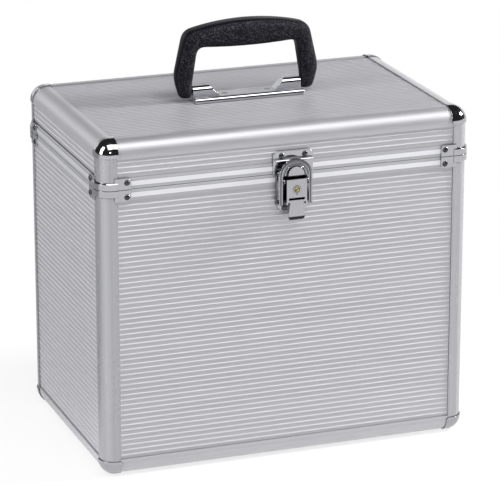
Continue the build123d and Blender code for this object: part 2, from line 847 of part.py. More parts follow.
def handle_plate():
    """Pressed base plate, hollow underneath, with a barrel at each end."""
    half_l = handle_plate_length / 2
    half_w = handle_plate_width / 2
    wall = handle_plate_wall
    top = handle_plate_top
    plate = block(-half_l, -half_w, handle_seat, half_l, half_w, top)
    barrel = handle_barrel()
    plate += barrel
    plate += to_right(barrel)
    plate -= block(-half_l + wall, -half_w + wall, handle_seat, half_l - wall, half_w - wall, top - wall)
    for site in handle_sites():
        plate += Pos(site.origin.X, 0, 0) * post(rivet_head_radius + wall, handle_seat, top)
        plate -= site * countersunk_rivet(2 * handle_plate_height, rivet_hole_clearance)
    return plate


def grip_outline():
    """Front view of the bow grip, x = 0 in the middle and y = 0 on its pivot axis."""
    outer = make_face(Polyline(
        (-foot_half_length, -foot_drop),
        (foot_half_length, -foot_drop),
        (leg_half_length, leg_widest_height),
        (shoulder_half_length, shoulder_height),
        (-shoulder_half_length, shoulder_height),
        (-leg_half_length, leg_widest_height),
        (-foot_half_length, -foot_drop),
    ))
    crown = ThreePointArc((-shoulder_half_length, shoulder_height), (0, crown_height),
                          (shoulder_half_length, shoulder_height))
    outer += make_face(crown + Line((shoulder_half_length, shoulder_height),
                                    (-shoulder_half_length, shoulder_height)))
    by_height = outer.vertices().sort_by(Axis.Y)
    outer = fillet(by_height[:2], foot_corner_radius)
    widest = [v for v in outer.vertices() if abs(v.Y - leg_widest_height) < 1e-6]
    outer = fillet(widest, leg_bulge_radius)
    shoulders = [v for v in outer.vertices() if abs(v.Y - shoulder_height) < 1e-6]
    outer = fillet(shoulders, shoulder_radius)
    return outer - grip_opening()


def grip_opening():
    """Front view of the space under the grip, open at the bottom."""
    below = -2 * foot_drop
    sag = ThreePointArc((-inner_shoulder_half_length, inner_shoulder_height), (0, inner_crown_height),
                        (inner_shoulder_half_length, inner_shoulder_height))
    rest = Polyline(
        (inner_shoulder_half_length, inner_shoulder_height),
        (grip_inner_x, inner_foot_height),
        (grip_inner_x, below),
        (-grip_inner_x, below),
        (-grip_inner_x, inner_foot_height),
        (-inner_shoulder_half_length, inner_shoulder_height),
    )
    opening = make_face(sag + rest)
    corners = [v for v in opening.vertices() if abs(v.Y - inner_shoulder_height) < 1e-6]
    return fillet(corners, inner_shoulder_radius)


def grip_side_outline():
    """Side view of the grip, slim at the feet and deeper at the crown."""
    top = crown_height + barrel_radius
    return make_face(Polyline(
        (-foot_half_depth, -foot_drop),
        (foot_half_depth, -foot_drop),
        (crown_half_depth, top),
        (-crown_half_depth, top),
        (-foot_half_depth, -foot_drop),
    ))


def handle_grip():
    front = Plane(origin=(0, crown_half_depth, handle_axis), x_dir=(1, 0, 0), z_dir=(0, -1, 0))
    bow = extrude(front * grip_outline(), amount=2 * crown_half_depth)
    side = Plane(origin=(-2 * leg_half_length, 0, handle_axis), x_dir=(0, 1, 0), z_dir=(1, 0, 0))
    grip = bow & extrude(side * grip_side_outline(), amount=4 * leg_half_length)
    front_and_back = [face for face in grip.faces() if abs(face.normal_at().Y) > 0.9]
    grip = fillet([edge for face in front_and_back for edge in face.edges()], grip_rounding)
    return grip - handle_pins_bore()


def handle_pins_bore():
    """Blind holes in the feet that hold the two pins."""
    start = grip_inner_x - grip_side_gap
    bores = Part()
    for side in (-1, 1):
        middle = side * (start + grip_inner_x + handle_pin_in_grip) / 2
        length = grip_inner_x + handle_pin_in_grip - start
        bores += Pos(middle, 0, handle_axis) * Rot(0, 90, 0) * Cylinder(
            handle_pin_radius + slot_clearance / 2, length)
    return bores


def handle_pins():
    """Pins from the feet into the barrels."""
    inner = handle_plate_length / 2 - barrel_bore_depth + grip_side_gap
    outer = grip_inner_x + handle_pin_in_grip - flush_margin
    middle = (inner + outer) / 2
    at = Rot(0, 90, 0) * Cylinder(handle_pin_radius, outer - inner)
    return [Pos(side * middle, 0, handle_axis) * at for side in (-1, 1)]


# ----- Foam lining -----

def lining_walls():
    """Four foam sheets on the inside of the body's panels."""
    bottom = edge_flange + lining_side_gap
    top = parting - rim_height - lining_side_gap
    out = panel_back + seat_gap
    x = half_width - edge_flange - lining_side_gap
    y = half_depth - edge_flange - lining_side_gap
    front = block(-x, -half_depth + out, bottom, x, -half_depth + out + lining_thickness, top)
    left = block(-half_width + out, -y, bottom, -half_width + out + lining_thickness, y, top)
    return [front, to_rear(front), left, to_right(left)]


def lining_floor():
    x = half_width - edge_flange - lining_side_gap
    y = half_depth - edge_flange - lining_side_gap
    z = panel_back + seat_gap
    return block(-x, -y, z, x, y, z + lining_thickness)


# ----- Build and save every piece -----

def save_body():
    holes = brace_sites(-1)
    holes["front"] = holes["front"] + latch_base_sites()
    holes["rear"] = holes["rear"] + hinge_sites(-1)
    for side, (plane, width) in FACES.items():
        save("body_" + side + "_panel", drilled(body_panel(width, plane), holes[side]))
    bottom = Pos(0, 0, panel_face) * mirror(flat_panel(), about=Plane.XY)
    save("body_bottom_panel", bottom)
    uprights = at_four_corners(upright_extrusion(edge_radius + end_clearance, body_top))
    for corner, upright in uprights.items():
        save("body_upright_extrusion_" + corner, upright)
    save("bottom_edge_extrusion_front", bottom_edge_front())
    save("bottom_edge_extrusion_rear", to_rear(bottom_edge_front()))
    save("bottom_edge_extrusion_left", bottom_edge_left())
    save("bottom_edge_extrusion_right", to_right(bottom_edge_left()))
    save_rims("body_rim_", body_rim_section(), holes)
    save("bottom_corner_caps", list(at_four_corners(corner_cap()).values()))
    save("body_corner_braces", list(at_four_corners(body_brace()).values()))
    save("body_brace_rivets", brace_rivets(-1, body_rim_inner))
    save("body_lining_walls", lining_walls())
    save("body_lining_floor", lining_floor())
    leaves = at_both_hinges(hinge_body_leaf())
    save("hinge_body_leaves", [drilled(leaf, hinge_sites(-1)) for leaf in leaves])
    save("hinge_pins", at_both_hinges(hinge_pin()))
    save("hinge_body_rivets", panel_rivets(hinge_sites(-1), hinge_leaf_thickness))
    save("latch_base", latch_base())
    save("latch_base_rivets", panel_rivets(latch_base_sites(), latch_base_thickness))
    save("latch_pivot_pin", latch_pivot_pin())


def panel_rivets(sites, plate):
    """Rivets through a plate and a panel, ending flush with the panel's back."""
    body = rivet(plate + seat_gap + panel_back - flush_margin, tail=False)
    return [site * body for site in sites]


def brace_rivets(side, rim_inner):
    """Brace rivets on all four faces, each through its ear, the rim and the panel in it."""
    body = rivet(brace_thickness + seat_gap + rim_inner)
    return [site * body for face in brace_sites(side).values() for site in face]


def save_rims(prefix, section, holes):
    """Four straight rim extrusions between the uprights, drilled for their rivets."""
    long_rim = along_x(section, case_width - 2 * (edge_flange + end_clearance), -half_depth, parting)
    short_rim = along_y(section, case_depth - 2 * (edge_flange + end_clearance), -half_width, parting)
    rims = {"front": long_rim, "rear": to_rear(long_rim), "left": short_rim, "right": to_right(short_rim)}
    for side, rim in rims.items():
        save(prefix + side, drilled(rim, holes[side]))


def save_lid():
    holes = brace_sites(1)
    holes["front"] = holes["front"] + strike_sites()
    holes["rear"] = holes["rear"] + hinge_sites(1)
    for side, (plane, width) in FACES.items():
        save("lid_" + side + "_panel", drilled(lid_panel(width, plane), holes[side]))
    save("lid_top_panel", drilled(Pos(0, 0, top_panel_face) * flat_panel(), handle_sites()))
    upright = upright_extrusion(lid_bottom, case_height - edge_radius - end_clearance)
    save("lid_upright_extrusions", list(at_four_corners(upright).values()))
    save("top_edge_extrusion_front", to_top(bottom_edge_front()))
    save("top_edge_extrusion_rear", to_top(to_rear(bottom_edge_front())))
    save("top_edge_extrusion_left", to_top(bottom_edge_left()))
    save("top_edge_extrusion_right", to_top(to_right(bottom_edge_left())))
    save_rims("lid_rim_", lid_rim_section(), holes)
    save("top_corner_caps", [to_top(cap) for cap in at_four_corners(corner_cap()).values()])
    save("lid_corner_braces", list(at_four_corners(lid_brace()).values()))
    save("lid_brace_rivets", brace_rivets(1, lid_rim_inner))
    save("lid_lining", to_top(lining_floor()))
    leaves = at_both_hinges(hinge_lid_leaf())
    save("hinge_lid_leaves", [drilled(leaf, hinge_sites(1)) for leaf in leaves])
    save("hinge_lid_rivets", panel_rivets(hinge_sites(1), hinge_leaf_thickness))
    save("latch_strike", strike())
    save("strike_rivets", panel_rivets(strike_sites(), strike_thickness))
    save("handle_plate", handle_plate())
    length = handle_plate_height + seat_gap + rib_height + panel_thickness - flush_margin
    save("handle_plate_rivets", [site * countersunk_rivet(length) for site in handle_sites()])


def save_moving_pieces():
    save("handle_grip", handle_grip())
    save("handle_pins", handle_pins())
    save("latch_lever", latch_lever())
    save("latch_bail", latch_bail())
    save("latch_bail_pin", bail_pin())
    save("lock_cylinder", lock_cylinder())
    save("lock_cam", lock_cam())


os.makedirs("parts", exist_ok=True)
save_body()
save_lid()
save_moving_pieces()
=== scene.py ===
"""Finishes, soft lining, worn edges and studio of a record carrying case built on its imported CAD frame."""

import json
import math
import random

import bpy
from bpy.props import FloatProperty, FloatVectorProperty, IntProperty, PointerProperty
from bpy.types import Operator, Panel, PropertyGroup
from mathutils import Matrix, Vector


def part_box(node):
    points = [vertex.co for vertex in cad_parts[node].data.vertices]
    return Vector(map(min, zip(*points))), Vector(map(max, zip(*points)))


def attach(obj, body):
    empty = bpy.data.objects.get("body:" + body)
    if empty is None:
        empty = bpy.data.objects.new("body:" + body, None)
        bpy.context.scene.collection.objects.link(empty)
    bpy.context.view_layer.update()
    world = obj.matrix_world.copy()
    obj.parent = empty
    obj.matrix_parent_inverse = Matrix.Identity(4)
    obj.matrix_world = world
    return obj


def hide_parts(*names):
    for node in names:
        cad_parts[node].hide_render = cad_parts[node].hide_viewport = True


bl_info = {
    "name": "Record Carrying Case",
    "version": (1, 0, 0),
    "blender": (4, 5, 0),
    "location": "3D View > Sidebar > Case",
    "description": "Finishes a record carrying case: laminate, profiles, hardware, grip, lining and studio",
    "category": "Object",
}

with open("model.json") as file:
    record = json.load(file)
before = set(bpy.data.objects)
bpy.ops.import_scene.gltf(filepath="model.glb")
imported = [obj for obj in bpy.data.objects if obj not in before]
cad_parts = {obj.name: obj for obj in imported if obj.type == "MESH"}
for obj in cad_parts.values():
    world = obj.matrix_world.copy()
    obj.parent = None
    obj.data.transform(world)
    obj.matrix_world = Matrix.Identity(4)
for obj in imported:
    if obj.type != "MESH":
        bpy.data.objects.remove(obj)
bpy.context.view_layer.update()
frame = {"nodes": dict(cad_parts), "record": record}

MM = 0.001
MERGE_REACH = 0.002 * MM
MERGE_ANGLE = math.radians(0.4)
ROUND_ANGLE = math.radians(32)
SMOOTH_ANGLE = math.radians(42)
FOAM_ANGLE = math.radians(50)
TOUCH = 0.1 * MM
# Height of the painted shadow line over the lid's rim.
SHADOW_LINE_RISE = 0.4 * MM
# Near-black of the painted shade in gaps and on plated faces that look down.
PAINTED_SHADE = (0.012, 0.012, 0.013)
X, Y, Z = range(3)
FRONT = Vector((0, -1, 0))
DOWN = Vector((0, 0, -1))

# --- settings ---


def colour(name, text, default):
    """A colour setting."""
    return FloatVectorProperty(name=name, description=text, subtype="COLOR", min=0, max=1, default=default)


def length(name, text, default):
    """A length setting in metres."""
    return FloatProperty(name=name, description=text, default=default, min=0, unit="LENGTH", precision=5)


def angle(name, text, degrees):
    """An angle setting, given in degrees."""
    return FloatProperty(name=name, description=text, default=math.radians(degrees), unit="ROTATION")


def number(name, text, default):
    """A plain number that is never negative."""
    return FloatProperty(name=name, description=text, default=default, min=0)


def whole_number(name, text, default):
    """A whole number that is never negative."""
    return IntProperty(name=name, description=text, default=default, min=0)


class CaseColours(PropertyGroup):
    """Colours of the case's materials."""

    laminate: colour("Laminate", "Silver laminate of the ribbed panels", (0.472, 0.467, 0.497))
    profile: colour("Profiles", "Satin anodised extrusions and rims", (0.53, 0.53, 0.555))
    chrome: colour("Chrome", "Plated corner caps, braces, latch and handle plate", (0.50, 0.50, 0.525))
    steel: colour("Steel", "Rivets, pins and the lock's cam", (0.09, 0.09, 0.095))
    brass: colour("Brass", "Lock cylinder", (0.40, 0.38, 0.21))
    grip: colour("Grip", "Moulded plastic of the handle", (0.003, 0.003, 0.006))
    grip_speckle: colour("Grip speckle", "Raised grains of the handle's flanks", (0.09, 0.09, 0.115))
    foam: colour("Foam", "Lining of the body and the lid", (0.022, 0.022, 0.025))


class CaseSizes(PropertyGroup):
    """Sizes of the fine shapes that the scene adds to the CAD frame."""

    plate_round: length("Plate edge", "Rounding along the edges of pressed plates", 0.25 * MM)
    cap_round: length("Cap edge", "Rounding along the edges of the corner caps", 0.2 * MM)
    rivet_round: length("Rivet edge", "Rounding along the edges of the rivets", 0.15 * MM)
    plate_rise: length("Plate rise", "Height of the handle plate's flat top over its foot", 5.0 * MM)
    plate_roll: length("Plate roll", "Radius of the roll along the handle plate's long edges", 3.4 * MM)
    lip_rise: length("Lip rise", "Height of the strike's lip over its foot", 14.5 * MM)
    lip_roll: length("Lip roll", "Radius of the roll along the strike's lip", 1.25 * MM)
    bail_boss_rise: length("Bail boss", "How far the bail's boss stands out from its strip", 1.5 * MM)
    bail_rim: length("Bail rim", "Width of the flat left on each side of the bail's groove", 0.95 * MM)
    bail_groove: length("Bail groove", "Depth of the groove along the bail", 0.55 * MM)
    grip_skin: length("Grip skin", "Distance between the modelled points of the grip", 0.8 * MM)
    grip_melt: whole_number("Grip melt", "How many times the grip's edges are smoothed", 60)
    grip_swell: length("Grip swell", "Grows the melted grip back to its full section", 0.7 * MM)
    foam_cell: length("Foam grid", "Distance between the lining's modelled points", 12 * MM)
    foam_wave: length("Foam wave", "How far the lining sheets swell and sag", 0.35 * MM)
    foam_margin: length("Foam margin", "Gap left round each lining sheet", 0.3 * MM)
    foam_soft: number("Foam edge", "Rounding of a sheet's edges, as a share of its thickness", 0.22)
    foam_seed: whole_number("Foam seed", "Picks the lining's waves", 7)


class StudioSettings(PropertyGroup):
    """Camera and lights."""

    lens: number("Lens", "Focal length in millimetres", 217.7)
    camera_place: FloatVectorProperty(
        name="Camera place",
        description="Where the camera stands",
        default=(-0.9751, -2.6654, 1.0919),
        unit="LENGTH",
    )
    camera_tilt: angle("Camera tilt", "How far the camera looks down", 17.933)
    camera_turn: angle("Camera turn", "How far the camera turns towards the case's right", 20.167)
    key_power: number("Key light", "Power of the low right softbox", 28)
    side_power: number("Side light", "Power of the left softbox", 29)
    top_power: number("Top light", "Power of the overhead softbox", 16)
    front_power: number("Front light", "Power of the small front lamp", 4)
    room: number("Room", "Brightness of the room's even light on matt faces", 0.14)


# --- helpers for objects ---


def set_mode(mode):
    """Puts the active object in a mode."""
    bpy.ops.object.mode_set(mode=mode)


def deselect_all():
    """Nothing is selected or active afterwards."""
    if bpy.context.object and bpy.context.object.mode != "OBJECT":
        set_mode("OBJECT")
    bpy.ops.object.select_all(action="DESELECT")
    bpy.context.view_layer.objects.active = None


def select_only(piece):
    """Selects one object alone, and makes it active."""
    deselect_all()
    piece.select_set(True)
    bpy.context.view_layer.objects.active = piece


def merged_copy(node, name):
    """A copy of a CAD node's mesh with its triangles merged into whole faces."""
    piece = bpy.data.objects.new(name, frame["nodes"][node].data.copy())
    piece.data.name = name
    bpy.context.scene.collection.objects.link(piece)
    select_only(piece)
    bpy.ops.mesh.customdata_custom_splitnormals_clear()
    set_mode("EDIT")
    bpy.ops.mesh.select_all(action="SELECT")
    bpy.ops.mesh.remove_doubles(threshold=MERGE_REACH)
    bpy.ops.mesh.dissolve_limited(angle_limit=MERGE_ANGLE)
    bpy.ops.mesh.normals_make_consistent(inside=False)
    set_mode("OBJECT")
    return piece


def modify(piece, name, kind, **settings):
    """Adds a modifier to the active piece and applies it."""
    modifier = piece.modifiers.new(name, kind)
    for title, value in settings.items():
        setattr(modifier, title, value)
    bpy.ops.object.modifier_apply(modifier=modifier.name)


def soften_edges(piece, name, width, sharp):
    """Bevels the edges that turn by more than an angle."""
    modify(piece, name, "BEVEL", width=width, segments=2, limit_method="ANGLE", angle_limit=sharp)


def round_edges(piece, width):
    """Rounds a piece's sharp edges and keeps its flat faces flat in the light."""
    select_only(piece)
    soften_edges(piece, "Rounded edges", width, ROUND_ANGLE)
    bpy.ops.object.shade_smooth_by_angle(angle=SMOOTH_ANGLE)
    modify(piece, "Even normals", "WEIGHTED_NORMAL", keep_sharp=True)


def clear_choice(piece, kind):
    """Leaves none of a piece's edges or faces selected."""
    select_only(piece)
    set_mode("EDIT")
    bpy.ops.mesh.select_mode(type=kind)
    bpy.ops.mesh.select_all(action="DESELECT")
    set_mode("OBJECT")


def roll_edges(piece, chosen, width):
    """Rolls the edges whose two ends are both at chosen places."""
    clear_choice(piece, "EDGE")
    points = piece.data.vertices
    for edge in piece.data.edges:
        edge.select = all(chosen(points[end].co) for end in edge.vertices)
    set_mode("EDIT")
    bpy.ops.mesh.bevel(offset=width, segments=4, affect="EDGES")
    set_mode("OBJECT")


def close_to(first, second, reach=TOUCH):
    """Whether two places along an axis are within reach."""
    return abs(first - second) < reach


def looks(face, way, likeness):
    """Whether a face looks a way. Likeness 1 is exactly that way, and 0 is across it."""
    return face.normal.dot(way) > likeness


def dress(piece, material):
    """Gives a new piece its material."""
    piece.data.materials.clear()
    piece.data.materials.append(material)


def repaint(piece, material, chosen):
    """Gives the chosen faces of a dressed piece a second material."""
    piece.data.materials.append(material)
    for face in piece.data.polygons:
        if chosen(face):
            face.material_index = 1


def stand_for(piece, body, *nodes):
    """The piece moves with a body and takes the place of CAD nodes."""
    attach(piece, body)
    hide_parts(*nodes)


def finish_node(node, material):
    """Gives a CAD node that keeps its shape a better material."""
    for slot in frame["nodes"][node].material_slots:
        slot.material = material


def body_of_node(node):
    """The name of the body that a CAD node belongs to."""
    bodies = frame["record"]["behaviour"]["bodies"]
    return next(body for body, members in bodies.items() if node in members)


# --- helpers for node trees ---


def new_group(name, outputs, **inputs):
    """An empty shader node group. Defaults give the inputs' kinds, and Normal is the one vector output."""
    group = bpy.data.node_groups.new(name, "ShaderNodeTree")
    for title, default in inputs.items():
        kind = "NodeSocketVector" if isinstance(default, tuple) else "NodeSocketFloat"
        socket = group.interface.new_socket(name=title, in_out="INPUT", socket_type=kind)
        socket.default_value = default
    for title in outputs:
        kind = "NodeSocketVector" if title == "Normal" else "NodeSocketFloat"
        group.interface.new_socket(name=title, in_out="OUTPUT", socket_type=kind)
    return group, group.nodes.new("NodeGroupInput").outputs, group.nodes.new("NodeGroupOutput").inputs


def join(tree, source, target):
    """Links one socket to another."""
    tree.links.new(source, target)


def math_node(tree, operation, first, second=None, clamp=False):
    """A Math node fed by sockets or numbers. Returns its value."""
    node = tree.nodes.new("ShaderNodeMath")
    node.operation = operation
    node.use_clamp = clamp
    for socket, given in zip(node.inputs, (first, second)):
        feed(tree, socket, given)
    return node.outputs[0]


def times(tree, first, second):
    """The product of two sockets or numbers."""
    return math_node(tree, "MULTIPLY", first, second)


def plus(tree, first, second):
    """The sum of two sockets or numbers."""
    return math_node(tree, "ADD", first, second)


def gap(tree, first, second):
    """How far two sockets or numbers are apart."""
    return math_node(tree, "ABSOLUTE", math_node(tree, "SUBTRACT", first, second))


def vector_node(tree, operation, first, second=None):
    """A Vector Math node fed by sockets or vectors. Returns its output socket."""
    node = tree.nodes.new("ShaderNodeVectorMath")
    node.operation = operation
    for socket, given in zip(node.inputs, (first, second)):
        feed(tree, socket, given)
    return node.outputs["Value" if operation in ("DOT_PRODUCT", "LENGTH") else "Vector"]


def feed(tree, socket, given):
    """Sets a socket to a plain value, or links another socket to it."""
    if given is None:
        return
    if isinstance(given, bpy.types.NodeSocket):
        tree.links.new(given, socket)
    else:
        socket.default_value = given


def noise(tree, vector, scale, detail=3.0, roughness=0.5):
    """A Noise texture's value."""
    node = tree.nodes.new("ShaderNodeTexNoise")
    feed(tree, node.inputs["Vector"], vector)
    feed(tree, node.inputs["Scale"], scale)
    node.inputs["Detail"].default_value = detail
    node.inputs["Roughness"].default_value = roughness
    return node.outputs[0]


def remap(tree, value, low, high, to_low=0.0, to_high=1.0):
    """Stretches a value's range low..high to another, and clamps it."""
    node = tree.nodes.new("ShaderNodeMapRange")
    node.clamp = True
    titles = ("Value", "From Min", "From Max", "To Min", "To Max")
    for title, given in zip(titles, (value, low, high, to_low, to_high)):
        feed(tree, node.inputs[title], given)
    return node.outputs[0]


def mix_colour(tree, amount, first, second):
    """Mixes two colours by an amount 0..1, through the node's sockets for colours."""
    node = tree.nodes.new("ShaderNodeMix")
    node.data_type = "RGBA"
    for place, given in ((0, amount), (6, rgba(first)), (7, rgba(second))):
        feed(tree, node.inputs[place], given)
    return node.outputs[2]


def mix_value(tree, amount, first, second):
    """Mixes two numbers by an amount 0..1."""
    return remap(tree, amount, 0.0, 1.0, first, second)


def rgba(value):
    """A colour with its alpha, or the socket that was given."""
    if isinstance(value, bpy.types.NodeSocket):
        return value
    return (*value[:3], 1.0)


def scaled(value, factor):
    """A colour made lighter or darker."""
    return tuple(min(1.0, part * factor) for part in value)


def seen_directly(tree, path):
    """One where the camera looks straight at something, or through glass."""
    return math_node(tree, "MAXIMUM", path.outputs["Is Camera Ray"], path.outputs["Is Transmission Ray"])


def object_place(tree):
    """The object coordinates of the shaded point."""
    return tree.nodes.new("ShaderNodeTexCoord").outputs["Object"]


def parts_of(tree, vector):
    """The X, Y and Z of a vector."""
    node = tree.nodes.new("ShaderNodeSeparateXYZ")
    join(tree, vector, node.inputs[0])
    return node.outputs


def facing(tree):
    """The X, Y and Z of the way that the shaded point faces."""
    return parts_of(tree, tree.nodes.new("ShaderNodeTexCoord").outputs["Normal"])


_groups = {}


def use_group(tree, kind, **values):
    """Places a shared node group and feeds its inputs by name."""
    node = tree.nodes.new("ShaderNodeGroup")
    node.node_tree = _groups[kind]
    for title, given in values.items():
        feed(tree, node.inputs[title], given)
    return node.outputs


def new_material(name, metallic, roughness, **plain):
    """A material with its tree, its Principled BSDF and its object coordinates.

    Plain sockets take one value all over."""
    material = bpy.data.materials.new(name)
    material.use_nodes = True
    shader = material.node_tree.nodes["Principled BSDF"]
    shader.inputs["Metallic"].default_value = metallic
    shader.inputs["Roughness"].default_value = roughness
    for title, value in plain.items():
        shader.inputs[title.replace("_", " ")].default_value = value
    return material, material.node_tree, shader, object_place(material.node_tree)


def coat(tree, shader, tone, roughness):
    """Feeds a shader's colour and roughness."""
    join(tree, tone, shader.inputs["Base Color"])
    join(tree, roughness, shader.inputs["Roughness"])


def bump(tree, shader, height, distance, strength, normal=None):
    """Feeds the shader's normal from a height. Chains on a normal where one is given."""
    node = tree.nodes.new("ShaderNodeBump")
    node.inputs["Distance"].default_value = distance
    node.inputs["Strength"].default_value = strength
    feed(tree, node.inputs["Height"], height)
    feed(tree, node.inputs["Normal"], normal)
    join(tree, node.outputs[0], shader.inputs["Normal"])


# --- shared effects ---


def edge_wear_group():
    """Where a metal's or plastic's edges have been rubbed, and a normal that rounds them."""
    group, given, out = new_group(
        "Edge wear", ("Mask", "Normal"), Vector=(0, 0, 0), Radius=0.0004, Patchiness=0.5
    )
    rounded = group.nodes.new("ShaderNodeBevel")
    rounded.samples = 8
    feed(group, rounded.inputs["Radius"], given["Radius"])
    flat = group.nodes.new("ShaderNodeNewGeometry")
    likeness = vector_node(group, "DOT_PRODUCT", rounded.outputs[0], flat.outputs["Normal"])
    turned = remap(group, likeness, 0.975, 0.78)
    patches = remap(group, noise(group, given["Vector"], 90, 4), 0.35, 0.65)
    kept = times(group, patches, given["Patchiness"])
    rest = math_node(group, "SUBTRACT", 1.0, given["Patchiness"])
    join(group, times(group, turned, plus(group, kept, rest)), out["Mask"])
    join(group, rounded.outputs[0], out["Normal"])
    return group


def streaks_group():
    """Fine drawn or brushed lines. Stretch is small along the lines and large across them."""
    group, given, out = new_group(
        "Drawn streaks", ("Fine", "Broad"), Vector=(0, 0, 0), Stretch=(1, 1, 1), Scale=400.0
    )
    place = vector_node(group, "MULTIPLY", given["Vector"], given["Stretch"])
    join(group, noise(group, place, given["Scale"], 5, 0.6), out["Fine"])
    join(group, noise(group, place, times(group, given["Scale"], 0.12), 3, 0.5), out["Broad"])
    return group


def handling_group():
    """Smudges from hands, dust that settles on what faces up, and long fine scratches."""
    group, given, out = new_group("Handling", ("Smudge", "Dust", "Scratch"), Vector=(0, 0, 0), Scale=14.0)
    vector = given["Vector"]
    cloudy = noise(group, vector, given["Scale"], 6, 0.62)
    join(group, remap(group, cloudy, 0.42, 0.72), out["Smudge"])
    lies = remap(group, facing(group)[Z], 0.45, 1.0)
    specks = remap(group, noise(group, vector, 1500, 2, 0.7), 0.60, 0.78)
    join(group, times(group, lies, specks), out["Dust"])
    turned = group.nodes.new("ShaderNodeMapping")
    turned.inputs["Rotation"].default_value = (0.4, 0.9, 0.6)
    turned.inputs["Scale"].default_value = (6.0, 260.0, 260.0)
    join(group, vector, turned.inputs["Vector"])
    lines = noise(group, turned.outputs[0], 1.0, 2, 0.4)
    join(group, remap(group, lines, 0.70, 0.76), out["Scratch"])
    return group


def crevice_group():
    """Painted shade in narrow gaps: one deep in a crevice and zero on an open face."""
    group, given, out = new_group("Painted crevice shade", ("Mask",), Distance=0.004, Open=0.75, Closed=0.25)
    reach = group.nodes.new("ShaderNodeAmbientOcclusion")
    reach.samples = 8
    feed(group, reach.inputs["Distance"], given["Distance"])
    join(group, remap(group, reach.outputs["AO"], given["Open"], given["Closed"]), out["Mask"])
    return group


def raised_group():
    """One on what stands out furthest along an axis (ribs and bands), zero on the face behind it."""
    group, given, out = new_group(
        "Raised faces", ("Mask",), Vector=(0, 0, 0), Axis=(0, 1, 0), Centre=0.0, Low=0.0, High=1.0
    )
    along = vector_node(group, "DOT_PRODUCT", given["Vector"], given["Axis"])
    away = gap(group, along, given["Centre"])
    join(group, remap(group, away, given["Low"], given["High"]), out["Mask"])
    return group


def pebble_group():
    """Moulded leather-like grain: rounded grains with narrow valleys between them."""
    group, given, out = new_group("Pebbled grain", ("Height", "Speckle"), Vector=(0, 0, 0), Scale=900.0)
    cells = group.nodes.new("ShaderNodeTexVoronoi")
    cells.feature = "F1"
    feed(group, cells.inputs["Vector"], given["Vector"])
    feed(group, cells.inputs["Scale"], given["Scale"])
    cells.inputs["Randomness"].default_value = 0.9
    dome = remap(group, cells.outputs["Distance"], 0.75, 0.1)
    finer = noise(group, given["Vector"], times(group, given["Scale"], 1.7), 3)
    join(group, plus(group, dome, times(group, finer, 0.5)), out["Height"])
    split = group.nodes.new("ShaderNodeSeparateColor")
    join(group, cells.outputs["Color"], split.inputs[0])
    bright = remap(group, split.outputs[0], 0.55, 0.9)
    join(group, times(group, bright, dome), out["Speckle"])
    return group


def turned_group():
    """Rings left by a lathe round an axis along Y through Centre."""
    group, given, out = new_group(
        "Turned rings", ("Height",), Vector=(0, 0, 0), Centre=(0, 0, 0), Rings=9000.0
    )
    away = vector_node(group, "SUBTRACT", given["Vector"], given["Centre"])
    flat = vector_node(group, "MULTIPLY", away, (1, 0, 1))
    radius = vector_node(group, "LENGTH", flat)
    join(group, math_node(group, "SINE", times(group, radius, given["Rings"])), out["Height"])
    return group


# --- materials ---


def raised_mask(tree, place, axis, nodes, low, high):
    """One at the outermost faces of a pair of nodes, fading to zero between low and high beneath them."""
    boxes = [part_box(node) for node in nodes]
    least = min(box[0][axis] for box in boxes)
    most = max(box[1][axis] for box in boxes)
    across = tuple(1.0 if each == axis else 0.0 for each in range(3))
    reach, middle = (most - least) / 2, (least + most) / 2
    values = {"Axis": across, "Centre": middle, "Low": reach - high, "High": reach - low}
    return use_group(tree, "raised", Vector=place, **values)["Mask"]


def laminate_material(name, shade, along, axis, nodes, crest=1.55, joint=None):
    """Silver laminate with a satin face: drawn lines run along the ribs, and the crests carry a painted
    highlight.

    Along is the ribs' axis, and axis is the one that the pair of nodes faces. Crest is how much lighter the
    ribs' crests are painted, as a highlight, and the last argument is the height of a painted shadow line
    along the panel."""
    material, tree, shader, place = new_material(name, 0.62, 0.34, Specular_IOR_Level=0.5)
    stretch = tuple(0.02 if each == along else 1.0 for each in range(3))
    lines = use_group(tree, "streaks", Vector=place, Stretch=stretch, Scale=900.0)
    hands = use_group(tree, "handling", Vector=place, Scale=11.0)
    # Ambient occlusion darkens the laminate in gaps and at steps: painted shade.
    painted_gap_shade = use_group(tree, "crevice", Distance=0.003, Open=0.62, Closed=0.2)
    ribs = raised_mask(tree, place, axis, nodes, 0.08 * MM, 0.34 * MM)
    base = mix_colour(tree, remap(tree, lines["Broad"], 0.3, 0.7), scaled(shade, 0.965), scaled(shade, 1.03))
    # The ribs' crests are painted lighter: a painted highlight.
    wear_and_highlight = mix_colour(tree, ribs, base, scaled(shade, crest))
    marked = mix_colour(tree, times(tree, hands["Scratch"], 0.10), wear_and_highlight, scaled(shade, 1.3))
    dusty = mix_colour(tree, times(tree, hands["Dust"], 0.16), marked, (0.55, 0.54, 0.52))
    gap_shaded = mix_colour(tree, times(tree, painted_gap_shade["Mask"], 0.7), dusty, scaled(shade, 0.22))
    # A dark band is painted just above the lid's rim, where the panel runs into it: a painted shadow line.
    if joint is not None:
        away = gap(tree, parts_of(tree, place)[Z], joint)
        gap_shaded = mix_colour(tree, remap(tree, away, 0.7 * MM, 0.5 * MM), gap_shaded, scaled(shade, 0.05))
    satin = remap(tree, lines["Fine"], 0.25, 0.75, 0.33, 0.38)
    coat(tree, shader, gap_shaded, plus(tree, satin, times(tree, hands["Smudge"], 0.05)))
    bump(tree, shader, lines["Fine"], 0.00001, 0.25)
    return material


